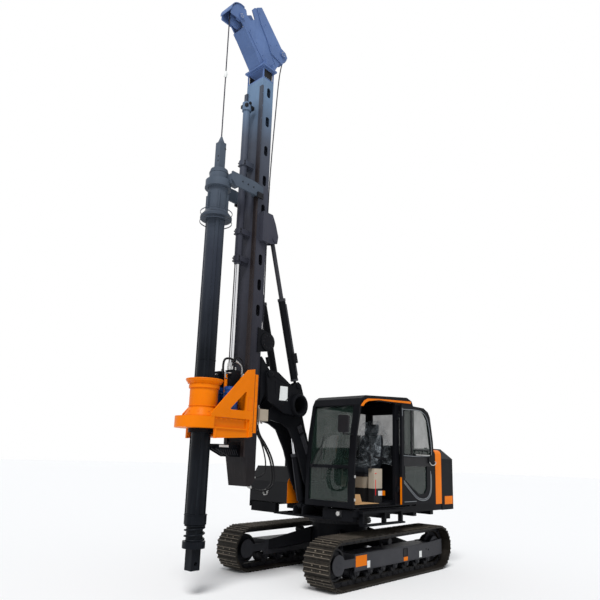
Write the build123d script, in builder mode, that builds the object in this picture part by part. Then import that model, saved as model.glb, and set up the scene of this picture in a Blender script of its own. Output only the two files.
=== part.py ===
from build123d import *
import math
import os

# Crawler-mounted rotary piling rig, full size, in millimetres.
# Rig coordinates: X forward, Y left, Z up, measured from the slew axis at ground level.
# The model's own origin lies on the ground under the middle of the rig's whole length.
SLEW_X = -715.0

# Tracks
TRACK_LENGTH = 3700.0
TRACK_GAUGE = 1990.0
SHOE_WIDTH = 500.0
SHOE_COUNT = 44
SHOE_GAP = 7.0
SHOE_PLATE = 12.0
GROUSER_HEIGHT = 20.0
GROUSER_WIDTH = 26.0
FRONT_END_RADIUS = 370.0
REAR_END_RADIUS = 386.0
LINK_TOP = 45.0
SHOE_SEAT = 8.0
LINK_DEPTH = 42.0
LINK_THICK = 34.0
LINK_SPREAD = 106.0
RUNNING_GAP = 0.4
SEAT_GAP = 0.3
CYLINDER_PIN_RADIUS = 25.0
EYE_RADIUS = 53.0

# Track frames
BEAM_OUTER_Y = 1150.0
BEAM_INNER_Y = 845.0
BEAM_BOTTOM_Z = 240.0
BEAM_TOP_Z = 490.0
BEAM_FRONT_X = 1080.0
BEAM_REAR_X = -1180.0
BEAM_WALL = 16.0
REAR_COVER_X = -1640.0
IDLER_CAP_RADIUS = 150.0
ROLLER_RADIUS = 75.0
ROLLER_COUNT = 7
ROLLER_SPAN = 2150.0
CARRIER_RADIUS = 55.0
CARRIER_PLACES_X = (-25.0,)

# Car body and slew bearing
CAR_BODY_RADIUS = 500.0
CAR_BODY_BOTTOM_Z = 400.0
CAR_BODY_TOP_Z = 820.0
BEARING_OUTER_RADIUS = 560.0
BEARING_INNER_RADIUS = 440.0
BEARING_SPLIT_Z = 890.0
DECK_BOTTOM_Z = 960.0

# Upper body
DECK_THICK = 30.0
SIDE_Y = 1200.0
SKIRT_BOTTOM_Z = 1045.0
BODY_FLOOR_Z = 1150.0
DECK_FRONT_X = 1180.0
TAIL_FRONT_X = -1620.0
TAIL_REAR_X = -2330.0
TAIL_TOP_Z = 2180.0
TAIL_SLOPE = 190.0
TAIL_BOTTOM_Z = 1040.0
HOOD_TOP_Z = 2150.0
PANEL_THICK = 25.0
LOUVRES_Z = (1420.0, 1500.0, 1580.0, 1660.0, 1740.0)
LOUVRE_HEIGHT = 34.0
EXHAUST_X = -1150.0
EXHAUST_Y = -450.0
EXHAUST_RADIUS = 55.0
EXHAUST_TOP_Z = 2420.0
SEAM = 4.0

# Cab
CAB_INNER_Y = 190.0
CAB_FLOOR_Z = 1170.0
CAB_FRONT_X = 1200.0
CAB_REAR_X = -620.0
CAB_WALL = 55.0
CAB_PILLAR = 120.0
WINDOW_SPLIT_Z = 1800.0
DOOR_REAR_X = 20.0
DOOR_THICK = 40.0
DOOR_HINGE_X = -30.0
DOOR_HINGE_Y = 1220.0
DOOR_TOP_Z = 2905.0
DOOR_BOTTOM_Z = 1190.0
DOOR_GAP = 6.0
HINGE_HEIGHTS_Z = (1400.0, 2620.0)
KNUCKLE_RADIUS = 13.0
KNUCKLE_HEIGHT = 45.0
HINGE_PIN_RADIUS = 7.0
GLASS_THICK = 6.0
MIRROR_X = 1400.0
MIRROR_ARM_Z = 2310.0
SEAT_Y = 690.0
SEAT_Z = 1640.0

# Boom
BOOM_FOOT_X = 700.0
BOOM_FOOT_Z = 1180.0
BOOM_HALF_WIDTH = 165.0
ARM_THICK = 32.0
CROSS_TUBE_X = 1550.0
CROSS_TUBE_Z = 2770.0
CROSS_TUBE_RADIUS = 185.0
CROSS_TUBE_BORE = 140.0
CROSS_TUBE_HALF = 340.0
MAST_PIVOT_X = 2235.0
MAST_PIVOT_Z = 3205.0
PIVOT_PIN_RADIUS = 35.0
HEAD_PLATE_Y = 290.0
HEAD_PLATE_THICK = 30.0
LIFT_BASE_X = 1080.0
LIFT_BASE_Z = 1130.0
LIFT_EYE_X = 1390.0
LIFT_EYE_Z = 2430.0
LIFT_BARREL_RADIUS = 62.0
LIFT_ROD_RADIUS = 36.0
LIFT_BARREL_LENGTH = 880.0

# Mast
MAST_FRONT_X = 2640.0
MAST_REAR_X = 2385.0
MAST_HALF_WIDTH = 205.0
MAST_WALL = 10.0
MAST_BOTTOM_Z = 1470.0
MAST_TOE = 90.0
MAST_TAPER_Z = 1900.0
STOP_FRONT_X = 3095.0
MAST_TOP_Z = 8430.0
RAIL_FRONT_X = 2672.0
RAIL_HALF_WIDTH = 232.0
RAIL_TOP_Z = 8250.0
SLOT_HEIGHT = 190.0
SLOT_WIDTH = 85.0
SLOT_X = 2490.0
SLOT_HEIGHTS_Z = (8190.0, 7620.0, 7060.0, 6500.0, 5970.0, 5080.0, 4650.0, 4220.0)
TILT_BASE_X = 1560.0
TILT_BASE_Z = 3090.0
TILT_EYE_X = 2265.0
TILT_EYE_Z = 5480.0
TILT_Y = 224.0
TILT_BARREL_RADIUS = 62.0
TILT_ROD_RADIUS = 37.0
TILT_BARREL_LENGTH = 1500.0
TILT_ROD_REACH = 480.0
WINCH_X = 2262.0
WINCH_Z = 3737.0
WINCH_CHEEK_RADIUS = 150.0
DRUM_RADIUS = 85.0
DRUM_FLANGE_RADIUS = 115.0

# Mast head
HEAD_FLANGE_Z = 8690.0
HEAD_PLATE_HALF_Y = 150.0
GUARD_RADIUS = 232.0
FRONT_SHEAVE_X = 3165.0
FRONT_SHEAVE_Z = 9360.0
REAR_SHEAVE_X = 2140.0
REAR_SHEAVE_Z = 9215.0
SHEAVE_RADIUS = 150.0
SHEAVE_WIDTH = 50.0
SHEAVE_GROOVE = 16.0

# Kelly and rotary drive
KELLY_X = 3305.0
OUTER_TUBE_RADIUS = 140.0
OUTER_TUBE_BORE = 112.0
OUTER_TUBE_BOTTOM_Z = 961.0
OUTER_FLANGE_Z = 5560.0
OUTER_FLANGE_RADIUS = 250.0
OUTER_FLANGE_THICK = 140.0
NECK_RADIUS = 160.0
NECK_BORE = 85.3
FLANGE_EDGE = 35.0
NECK_FINS = 6
DRIVE_RIB_HEIGHT = 18.0
DRIVE_RIB_WIDTH = 44.0
GUIDE_BOTTOM_Z = 6075.0
GUIDE_TOP_Z = 6370.0
GUIDE_RADIUS = 205.0
GUIDE_BORE = 118.0
CAP_RADIUS = 140.0
GUIDE_SLIM_RADIUS = 152.0
GUIDE_STEP_Z = 6210.0
CAP_THICK = 40.0
INNER_BAR_WIDTH = 120.0
INNER_BAR_TOP_Z = 6900.0
SWIVEL_TOP_Z = 7020.0
STUB_WIDTH = 150.0
STUB_BOTTOM_Z = 350.0
COLLAR_BOTTOM_Z = 643.0
COLLAR_RADIUS = 160.0
TUBE_COLLAR_HEIGHT = 135.0
SPRING_BOTTOM_Z = 736.0
SPRING_TOP_Z = OUTER_TUBE_BOTTOM_Z - RUNNING_GAP
SPRING_WIRE = 26.0
SPRING_CORE_RADIUS = 118.0
SPRING_CORE_BORE = 92.0
SPRING_TURNS = 3
TOOL_PIN_Z = 440.0
TOOL_PIN_RADIUS = 25.0
FUNNEL_TOP_Z = 3000.0
FUNNEL_RADIUS = 270.0
COLLAR_RIM_RADIUS = 226.0
BARREL_RADIUS = 207.0
CASE_TOP_Z = 2452.0
CASE_BOTTOM_Z = 2290.0
CASE_NOSE_X = 3360.0
CASE_HALF_Y = 305.0
CASE_LIP_HEIGHT = 22.0
BARREL_FOOT_RADIUS = 268.0
BARREL_FOOT_TOP_Z = 2580.0
COLLAR_RIM_Z = 2870.0
SLEEVE_BORE = 172.0
SLEEVE_RADIUS = 192.0
CHANNEL_DEPTH = 60.0
CHANNEL_BOTTOM_Z = 2245.0
CHANNEL_TOP_Z = 3100.0
MOTOR_X = 2917.0
MOTOR_Y = 150.0
MOTOR_RADIUS = 112.0
MOTOR_TOP_Z = 2930.0
BRAKE_TOP_Z = 3190.0
SLEEVE_BOTTOM_Z = 2230.0
DRIVE_PLATE_Y = 350.0
DRIVE_PLATE_THICK = 25.0
CARRIAGE_BOX_BOTTOM_Z = 2150.0
VALVE_LOW_Y = 20.0
VALVE_HIGH_Y = 250.0
VALVE_BOTTOM_Z = 2465.0
HOSE_BEND_SHARE = 0.45
# Hose routes from end to end as X and Z
OUTER_LOOP = ((2290.0, VALVE_BOTTOM_Z - SEAT_GAP), (2290.0, 2300.0), (2050.0, 2070.0), (1880.0, 1800.0),
              (1860.0, 1420.0), (2288.4, 1373.4), (2429.8, 1514.8))
INNER_LOOP = ((2335.0, VALVE_BOTTOM_Z - SEAT_GAP), (2335.0, 2300.0), (2190.0, 2060.0), (2100.0, 1800.0),
              (2150.0, 1600.0), (2384.7, 1600.0))
DRIVE_LOOP = ((2940.0, 3190.3), (2940.0, 3350.0), (2820.0, 3420.0), (2700.0, 3330.0), (2700.0, 3100.3))
# Hose name, place across the rig, diameter and route
MAST_HOSES = (("mast_hose_outer", 60.0, 30.0, OUTER_LOOP), ("mast_hose_middle", 110.0, 30.0, OUTER_LOOP),
              ("mast_hose_inner", 155.0, 22.0, INNER_LOOP))
DRIVE_HOSE_Y = 170.0
DRIVE_HOSE_DIAMETER = 18.0
CROWD_X = 2800.0
CROWD_BARREL_RADIUS = 62.0
CROWD_ROD_RADIUS = 35.0
CROWD_BARREL_BOTTOM_Z = 4960.0
CROWD_BARREL_TOP_Z = 7800.0
CROWD_EYE_Z = 3060.0
CROWD_ROD_TOP_Z = 6200.0
CROWD_CLAMPS_Z = (5000.0, 5470.0, 6700.0)
CROWD_CLAMP_HALF = 80.0
CROWD_CLAMP_HEIGHT = 90.0

os.makedirs("parts", exist_ok=True)


def side(y):
    """Upright plane along the rig at Y = y, local axes X forward and Z up, facing right."""
    return Plane(origin=(SLEW_X, y, 0), x_dir=(1, 0, 0), z_dir=(0, -1, 0))


def level(z):
    """Level plane at height z, centred on the slew axis."""
    return Plane(origin=(SLEW_X, 0, z))


def at(x, y, z):
    """Point in the model's own frame for rig coordinates."""
    return Vector(SLEW_X + x, y, z)


def plate(points, y_low, y_high, mode=Mode.ADD, corner=0, grow=0):
    """Adds or cuts a flat plate with the given side outline, its corners rounded, between two Y values."""
    with BuildSketch(side(y_high)) as outline:
        with BuildLine():
            Polyline(*points, close=True)
        make_face()
        if corner:
            fillet(outline.vertices(), corner)
        if grow:
            offset(amount=grow, kind=Kind.INTERSECTION)
    return extrude(outline.sketch, amount=y_high - y_low, mode=mode)


def ring_band(x, z, outer, inner, turn_low, turn_high, y_low, y_high):
    """Adds a curved sheet across the rig, bent round a centre between two angles in degrees."""
    with BuildSketch(side(y_high)) as outline:
        with BuildLine():
            CenterArc((x, z), outer, turn_low, turn_high - turn_low)
            CenterArc((x, z), inner, turn_low, turn_high - turn_low)
            for turn in (turn_low, turn_high):
                lean = math.cos(math.radians(turn)), math.sin(math.radians(turn))
                Line((x + inner * lean[0], z + inner * lean[1]), (x + outer * lean[0], z + outer * lean[1]))
        make_face()
    return extrude(outline.sketch, amount=y_high - y_low)


def block(x_low, x_high, y_low, y_high, z_low, z_high, mode=Mode.ADD):
    """Adds or cuts a box given by its limits in rig coordinates."""
    middle = ((x_low + x_high) / 2, (y_low + y_high) / 2)
    with BuildSketch(level(z_low)) as outline:
        with Locations(middle):
            Rectangle(x_high - x_low, y_high - y_low)
    return extrude(outline.sketch, amount=z_high - z_low, mode=mode)


def shaft(x, z, radius, y_low, y_high, mode=Mode.ADD):
    """Adds or cuts a round bar across the rig."""
    with BuildSketch(side(y_high)) as outline:
        with Locations((x, z)):
            Circle(radius)
    return extrude(outline.sketch, amount=y_high - y_low, mode=mode)


def post(x, y, radius, z_low, z_high, mode=Mode.ADD):
    """Adds or cuts an upright round bar."""
    with BuildSketch(level(z_low)) as outline:
        with Locations((x, y)):
            Circle(radius)
    return extrude(outline.sketch, amount=z_high - z_low, mode=mode)


def bar(start, end, radius, mode=Mode.ADD):
    """Adds or cuts a round bar between two points of the model's frame."""
    path = end - start
    with BuildSketch(Plane(origin=start, z_dir=path)) as outline:
        Circle(radius)
    return extrude(outline.sketch, amount=path.length, mode=mode)


def finish(part, name):
    """Labels a finished piece and writes it."""
    part.part.label = name
    export_step(part.part, f"parts/{name}.step")


# Track loop: two half circles joined by straight runs, followed at the height of the link pins
PIN_DEPTH = GROUSER_HEIGHT + SHOE_PLATE + LINK_TOP
FRONT_PIN_RADIUS = FRONT_END_RADIUS - PIN_DEPTH
REAR_PIN_RADIUS = REAR_END_RADIUS - PIN_DEPTH
IDLER_X = TRACK_LENGTH / 2 - FRONT_END_RADIUS
SPROCKET_X = -TRACK_LENGTH / 2 + REAR_END_RADIUS
RUN_LENGTH = IDLER_X - SPROCKET_X
TRACK_Y = TRACK_GAUGE / 2
LINK_FLOOR_Z = PIN_DEPTH + LINK_DEPTH


def pin_point(distance):
    """Point and outward direction on the pin line, starting under the idler and going back."""
    lengths = (RUN_LENGTH, math.pi * REAR_PIN_RADIUS, RUN_LENGTH, math.pi * FRONT_PIN_RADIUS)
    distance = distance % sum(lengths)
    rear_top = SPROCKET_X, REAR_END_RADIUS + REAR_PIN_RADIUS
    front_top = IDLER_X, FRONT_END_RADIUS + FRONT_PIN_RADIUS
    if distance < lengths[0]:
        return (IDLER_X - distance, PIN_DEPTH), (0, -1)
    distance -= lengths[0]
    if distance < lengths[1]:
        turn = distance / REAR_PIN_RADIUS
        out = -math.sin(turn), -math.cos(turn)
        centre = SPROCKET_X, REAR_END_RADIUS
        return tuple(c + REAR_PIN_RADIUS * o for c, o in zip(centre, out)), out
    distance -= lengths[1]
    if distance < lengths[2]:
        share = distance / lengths[2]
        return tuple(a + (b - a) * share for a, b in zip(rear_top, front_top)), (0, 1)
    turn = (distance - lengths[2]) / FRONT_PIN_RADIUS
    out = math.sin(turn), math.cos(turn)
    centre = IDLER_X, FRONT_END_RADIUS
    return tuple(c + FRONT_PIN_RADIUS * o for c, o in zip(centre, out)), out


LOOP_LENGTH = 2 * RUN_LENGTH + math.pi * (FRONT_PIN_RADIUS + REAR_PIN_RADIUS)
PINS = [pin_point(LOOP_LENGTH * i / SHOE_COUNT)[0] for i in range(SHOE_COUNT)]


def inner_radius(pin_radius):
    """Radius of what turns inside the links, where the pins stand on a circle."""
    half_turn = LOOP_LENGTH / SHOE_COUNT / 2 / pin_radius
    return pin_radius * math.cos(half_turn) - LINK_DEPTH - RUNNING_GAP


def shoe_outline():
    """Outer outline of the loop, one flat shoe with three grousers between each two pins."""
    points = []
    for start, end in zip(PINS, PINS[1:] + PINS[:1]):
        along = end[0] - start[0], end[1] - start[1]
        pitch = math.hypot(*along)
        tangent = along[0] / pitch, along[1] / pitch
        # The loop runs back along the ground, so outward lies to the left of the way
        outward = -tangent[1], tangent[0]
        middle = (start[0] + end[0]) / 2, (start[1] + end[1]) / 2
        half = pitch / 2 - SHOE_GAP / 2
        base = LINK_TOP + SHOE_PLATE
        foot = GROUSER_WIDTH / 2
        profile = [(-half, LINK_TOP), (-half, base)]
        for root in (foot - half, 0, half - foot):
            profile += [(root, base + GROUSER_HEIGHT), (root + foot, base)]
            if root == 0:
                profile.insert(-2, (-foot, base))
        profile.append((half, LINK_TOP))
        for s, h in profile:
            points.append(
                (middle[0] + tangent[0] * s + outward[0] * h, middle[1] + tangent[1] * s + outward[1] * h)
            )
    return points


def pin_loop(height):
    """Plain loop with one straight side between each two pins, at a height above the pin line."""
    points = []
    for before, pin, after in zip(PINS[-1:] + PINS[:-1], PINS, PINS[1:] + PINS[:1]):
        come = (Vector(*pin) - Vector(*before)).normalized()
        leave = (Vector(*after) - Vector(*pin)).normalized()
        way = (come + leave).normalized()
        reach = height / way.dot(come)
        points.append((pin[0] - way.Y * reach, pin[1] + way.X * reach))
    return points


def make_track(side_sign, name):
    y_outer = side_sign * TRACK_Y + SHOE_WIDTH / 2
    with BuildPart() as track:
        with BuildSketch(side(y_outer)):
            with BuildLine():
                Polyline(*shoe_outline(), close=True)
            make_face()
        extrude(amount=SHOE_WIDTH)
        plate(pin_loop(LINK_TOP - SHOE_SEAT), y_outer - SHOE_WIDTH, y_outer, Mode.SUBTRACT)
        for spread in (-LINK_SPREAD / 2, LINK_SPREAD / 2):
            y_link = side_sign * TRACK_Y + spread + LINK_THICK / 2
            with BuildSketch(side(y_link)):
                with BuildLine():
                    Polyline(*pin_loop(LINK_TOP - SHOE_SEAT + 2), close=True)
                make_face()
                with BuildLine():
                    Polyline(*pin_loop(-LINK_DEPTH), close=True)
                make_face(mode=Mode.SUBTRACT)
            extrude(amount=LINK_THICK)
    finish(track, name)


make_track(1, "track_left")
make_track(-1, "track_right")


# Undercarriage
def make_side_frame(side_sign, name):
    y_low, y_high = sorted((side_sign * BEAM_INNER_Y, side_sign * BEAM_OUTER_Y))
    shelf_z = LINK_FLOOR_Z + 2 * ROLLER_RADIUS + 22
    with BuildPart() as frame:
        block(BEAM_REAR_X, BEAM_FRONT_X, y_low, y_high, BEAM_BOTTOM_Z, BEAM_TOP_Z)
        # The rollers run in the open channel under the beam
        block(BEAM_REAR_X - 1, BEAM_FRONT_X + 1, y_low + BEAM_WALL, y_high - BEAM_WALL,
              BEAM_BOTTOM_Z - 1, shelf_z, Mode.SUBTRACT)
        block(BEAM_REAR_X + BEAM_WALL, BEAM_FRONT_X - BEAM_WALL, y_low + BEAM_WALL, y_high - BEAM_WALL,
              shelf_z + BEAM_WALL, BEAM_TOP_Z - BEAM_WALL, Mode.SUBTRACT)
        # Idler yoke plates at the front, drive bracket at the rear
        for y_yoke in (y_low, y_high - BEAM_WALL):
            block(BEAM_FRONT_X, IDLER_X + 60, y_yoke, y_yoke + BEAM_WALL, 310, 430)
            shaft(IDLER_X, FRONT_END_RADIUS, IDLER_CAP_RADIUS, y_yoke, y_yoke + BEAM_WALL)
        y_drive = y_low if side_sign > 0 else y_high - 30
        block(BEAM_REAR_X - 330, BEAM_REAR_X, y_drive, y_drive + 30, 260, 500)
        y_cover = y_high - BEAM_WALL if side_sign > 0 else y_low
        plate([(BEAM_REAR_X, BEAM_BOTTOM_Z), (REAR_COVER_X, BEAM_BOTTOM_Z + 10),
               (REAR_COVER_X, BEAM_TOP_Z + 25), (BEAM_REAR_X, BEAM_TOP_Z)], y_cover, y_cover + BEAM_WALL)
        for index in range(ROLLER_COUNT):
            x = (index / (ROLLER_COUNT - 1) - 0.5) * ROLLER_SPAN - 50
            shaft(x, LINK_FLOOR_Z + ROLLER_RADIUS, 20.4, y_low - 1, y_high + 1, Mode.SUBTRACT)
    finish(frame, name)


make_side_frame(1, "track_frame_left")
make_side_frame(-1, "track_frame_right")

with BuildPart() as car_body:
    post(0, 0, CAR_BODY_RADIUS, CAR_BODY_BOTTOM_Z, CAR_BODY_TOP_Z)
    post(0, 0, CAR_BODY_RADIUS - 22, CAR_BODY_BOTTOM_Z + 20, CAR_BODY_TOP_Z - 30, Mode.SUBTRACT)
    post(0, 0, 170, CAR_BODY_BOTTOM_Z - 1, CAR_BODY_TOP_Z + 1, Mode.SUBTRACT)
    for x_sign in (-1, 1):
        for y_sign in (-1, 1):
            root = Vector(SLEW_X + x_sign * 260, y_sign * 330, 0)
            foot = Vector(SLEW_X + x_sign * 760, y_sign * (BEAM_INNER_Y - RUNNING_GAP), 0)
            with BuildSketch(Plane(origin=root + Vector(0, 0, 600), z_dir=(0, y_sign, 0), x_dir=(1, 0, 0))):
                Rectangle(330, 250)
            with BuildSketch(Plane(origin=foot + Vector(0, 0, 395), z_dir=(0, y_sign, 0), x_dir=(1, 0, 0))):
                Rectangle(420, 170)
            loft(ruled=True)
finish(car_body, "car_body")

with BuildPart() as slew_bearing:
    with BuildSketch(level(CAR_BODY_TOP_Z)):
        Circle(BEARING_OUTER_RADIUS)
        Circle(BEARING_INNER_RADIUS, mode=Mode.SUBTRACT)
    extrude(amount=BEARING_SPLIT_Z - CAR_BODY_TOP_Z)
finish(slew_bearing, "slew_ring_lower")

with BuildPart() as sprockets:
    for side_sign in (-1, 1):
        y = side_sign * TRACK_Y
        radius = inner_radius(REAR_PIN_RADIUS)
        tooth_gap = LINK_SPREAD / 2 - LINK_THICK / 2 - 8
        with BuildSketch(side(y + tooth_gap)):
            with Locations((SPROCKET_X, REAR_END_RADIUS)):
                Circle(radius - 2)
                with PolarLocations(radius - 14, 21):
                    Rectangle(60, 34)
        extrude(amount=2 * tooth_gap)
        shaft(SPROCKET_X, REAR_END_RADIUS, 190, *sorted((y - side_sign * 120, y + side_sign * 95)))
finish(sprockets, "drive_sprockets")

with BuildPart() as idlers:
    for side_sign in (-1, 1):
        y = side_sign * TRACK_Y
        radius = inner_radius(FRONT_PIN_RADIUS)
        shaft(IDLER_X, FRONT_END_RADIUS, radius, y - 85, y + 85)
        for y_face in (y - 85, y + 55):
            with BuildSketch(side(y_face + 30)):
                with Locations((IDLER_X, FRONT_END_RADIUS)):
                    Circle(radius - 30)
                    Circle(85, mode=Mode.SUBTRACT)
            extrude(amount=30, mode=Mode.SUBTRACT)
        y_low, y_high = sorted((side_sign * BEAM_INNER_Y, side_sign * BEAM_OUTER_Y))
        shaft(IDLER_X, FRONT_END_RADIUS, 45, y_low + BEAM_WALL + SEAT_GAP, y_high - BEAM_WALL - SEAT_GAP)
finish(idlers, "front_idlers")

def carrier_height(x):
    """Axle height of a carrier roller under the upper run of the track."""
    front_z = FRONT_END_RADIUS + FRONT_PIN_RADIUS
    rear_z = REAR_END_RADIUS + REAR_PIN_RADIUS
    pin_z = rear_z + (front_z - rear_z) * (x - SPROCKET_X) / RUN_LENGTH
    return pin_z - LINK_DEPTH - CARRIER_RADIUS - RUNNING_GAP


with BuildPart() as rollers:
    for side_sign in (-1, 1):
        y = side_sign * TRACK_Y
        y_low, y_high = sorted((side_sign * BEAM_INNER_Y, side_sign * BEAM_OUTER_Y))
        for index in range(ROLLER_COUNT):
            x = (index / (ROLLER_COUNT - 1) - 0.5) * ROLLER_SPAN - 50
            z = LINK_FLOOR_Z + ROLLER_RADIUS + RUNNING_GAP
            shaft(x, z, ROLLER_RADIUS, y - 110, y + 110)
            shaft(x, z, 20, y_low, y_high)
        for x in CARRIER_PLACES_X:
            z = carrier_height(x)
            shaft(x, z, CARRIER_RADIUS, y - 70, y + 70)
            shaft(x, z, 24, *sorted((y - side_sign * 70, y - side_sign * 130)))
            block(x - 30, x + 30, *sorted((y - side_sign * 95, y - side_sign * 130)),
                  BEAM_TOP_Z + SEAT_GAP, z + 20)
finish(rollers, "track_rollers")

# Upper body
with BuildPart() as turning_frame:
    block(-1700, DECK_FRONT_X - 20, -560, 560, DECK_BOTTOM_Z, DECK_BOTTOM_Z + DECK_THICK)
    with BuildSketch(level(BEARING_SPLIT_Z + RUNNING_GAP)):
        Circle(BEARING_OUTER_RADIUS - 20)
        Circle(BEARING_INNER_RADIUS - 40, mode=Mode.SUBTRACT)
    extrude(amount=DECK_BOTTOM_Z - BEARING_SPLIT_Z - RUNNING_GAP)
    for y_sign in (-1, 1):
        y_low, y_high = sorted((y_sign * (SIDE_Y - 60), y_sign * (SIDE_Y - 10)))
        block(TAIL_FRONT_X + 10, DECK_FRONT_X - 20, y_low, y_high, SKIRT_BOTTOM_Z, BODY_FLOOR_Z)
        for x in (-1300, -700, 150, 1100):
            y_in, y_out = sorted((y_sign * 540, y_sign * (SIDE_Y - 50)))
            block(x - 50, x + 50, y_in, y_out, DECK_BOTTOM_Z + 10, SKIRT_BOTTOM_Z + 90)
        # Tail beams under the counterweight and pads under the cab
        block(-1950, -1300, *sorted((y_sign * 300, y_sign * 420)), DECK_BOTTOM_Z, TAIL_BOTTOM_Z - SEAT_GAP)
        # Boom foot cheeks
        cheek = y_sign * (BOOM_HALF_WIDTH - ARM_THICK - 34)
        plate([(380, DECK_BOTTOM_Z + 10), (1160, DECK_BOTTOM_Z + 10), (1150, 1120), (1000, 1170),
               (790, 1290), (610, 1290), (520, 1200)], cheek - 14, cheek + 14)
    shaft(BOOM_FOOT_X, BOOM_FOOT_Z, PIVOT_PIN_RADIUS, -(BOOM_HALF_WIDTH + 8), BOOM_HALF_WIDTH + 8)
    shaft(LIFT_BASE_X, LIFT_BASE_Z, CYLINDER_PIN_RADIUS, -100, 100)
    for x in (-500, 1080):
        block(x - 40, x + 40, SIDE_Y - 60, SIDE_Y - 10, BODY_FLOOR_Z - 5, CAB_FLOOR_Z - SEAT_GAP)
    for x in (150, 1100):
        block(x - 40, x + 40, 560, 640, SKIRT_BOTTOM_Z, CAB_FLOOR_Z - SEAT_GAP)
finish(turning_frame, "turning_frame")

with BuildPart() as counterweight:
    with BuildSketch(level(TAIL_BOTTOM_Z)):
        with BuildLine():
            Polyline((-2060, SIDE_Y), (TAIL_FRONT_X, SIDE_Y), (TAIL_FRONT_X, -SIDE_Y), (-2060, -SIDE_Y))
            ThreePointArc((-2060, SIDE_Y), (TAIL_REAR_X, 0), (-2060, -SIDE_Y))
        make_face()
    extrude(amount=TAIL_TOP_Z - TAIL_BOTTOM_Z)
    top = counterweight.faces().sort_by(Axis.Z)[-1]
    chamfer(top.edges().sort_by(Axis.X)[:-1], TAIL_SLOPE, TAIL_SLOPE, reference=top)
finish(counterweight, "counterweight")

with BuildPart() as engine:
    block(-1360, -800, -420, 420, TAIL_BOTTOM_Z, 1760)
finish(engine, "engine_block")

with BuildPart() as hood:
    x_low, x_high = TAIL_FRONT_X + SEAM, CAB_REAR_X - 30
    block(x_low, x_high, -SIDE_Y, SIDE_Y, BODY_FLOOR_Z + SEAT_GAP, HOOD_TOP_Z)
    fillet(hood.edges().filter_by(Axis.X).group_by(Axis.Z)[-1], 90)
    block(x_low + PANEL_THICK, x_high - PANEL_THICK, -SIDE_Y + PANEL_THICK, SIDE_Y - PANEL_THICK,
          BODY_FLOOR_Z - 1, HOOD_TOP_Z - PANEL_THICK - 80, Mode.SUBTRACT)
    # Air slots in both side panels
    for z in LOUVRES_Z:
        for y_sign in (-1, 1):
            y_low, y_high = sorted((y_sign * (SIDE_Y - PANEL_THICK - 1), y_sign * (SIDE_Y + 1)))
            block(x_low + 120, x_high - 260, y_low, y_high, z, z + LOUVRE_HEIGHT, Mode.SUBTRACT)
    post(EXHAUST_X, EXHAUST_Y, EXHAUST_RADIUS, HOOD_TOP_Z - 60, EXHAUST_TOP_Z)
    post(EXHAUST_X, EXHAUST_Y, EXHAUST_RADIUS - 5, HOOD_TOP_Z + 5, EXHAUST_TOP_Z + 1, Mode.SUBTRACT)
finish(hood, "engine_hood")

with BuildPart() as side_tank:
    block(-600, 250, -SIDE_Y, -260, BODY_FLOOR_Z + SEAT_GAP, 2120)
    fillet(side_tank.edges().filter_by(Axis.X).group_by(Axis.Z)[-1], 60)
finish(side_tank, "hydraulic_tank")

with BuildPart() as front_box:
    floor_z = BODY_FLOOR_Z + SEAT_GAP
    plate([(256, floor_z), (1150, floor_z), (1150, 1500), (980, 1760), (256, 1760)], -SIDE_Y, -260)
finish(front_box, "front_tool_box")

# Cab
CAB_OUTLINE = [(CAB_REAR_X, CAB_FLOOR_Z), (CAB_FRONT_X, CAB_FLOOR_Z), (CAB_FRONT_X - 10, WINDOW_SPLIT_Z),
               (CAB_FRONT_X - 50, 2300), (CAB_FRONT_X - 140, 2800), (CAB_FRONT_X - 200, 2910),
               (CAB_FRONT_X - 300, 2965), (CAB_REAR_X + 240, 3050), (CAB_REAR_X + 80, 3000),
               (CAB_REAR_X, 2880)]

# Door outline and its windows as they stand when shut
DOOR_OUTLINE = [(DOOR_REAR_X, DOOR_BOTTOM_Z), (CAB_FRONT_X - 40, DOOR_BOTTOM_Z),
                (CAB_FRONT_X - 50, WINDOW_SPLIT_Z), (CAB_FRONT_X - 90, 2300),
                (CAB_FRONT_X - 190, 2740), (CAB_FRONT_X - 260, 2830),
                (CAB_FRONT_X - 420, DOOR_TOP_Z - 10), (DOOR_REAR_X, DOOR_TOP_Z)]
DOOR_WINDOWS = {
    "upper": [(DOOR_REAR_X + 90, 2040), (1000, 2040), (1035, 2120), (925, 2680), (760, 2845),
              (DOOR_REAR_X + 90, 2830)],
    "lower": [(DOOR_REAR_X + 105, 1900), (870, 1900), (870, 1450), (800, 1370), (690, 1345), (560, 1365),
              (DOOR_REAR_X + 105, 1600)],
}
WINDOW_CORNER = 35.0
FRONT_PANES_Z = ((CAB_FLOOR_Z + 90, WINDOW_SPLIT_Z - 25), (WINDOW_SPLIT_Z + 25, 2300), (2300, 2790))


def front_x(z):
    """Place of the cab's front face at height z."""
    for (x_low, z_low), (x_high, z_high) in zip(CAB_OUTLINE[1:4], CAB_OUTLINE[2:5]):
        if z <= z_high:
            break
    return x_low + (x_high - x_low) * (z - z_low) / (z_high - z_low)


# Side and rear windows, as limits of X or Y and of Z
RIGHT_WINDOW = (CAB_REAR_X + 110, 1000, 1900, 2780)
SIDE_WINDOW = (CAB_REAR_X + 110, DOOR_REAR_X - 130, 1950, 2780)
REAR_WINDOW = (CAB_INNER_Y + 100, SIDE_Y - 100, 2200, 2770)

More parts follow.
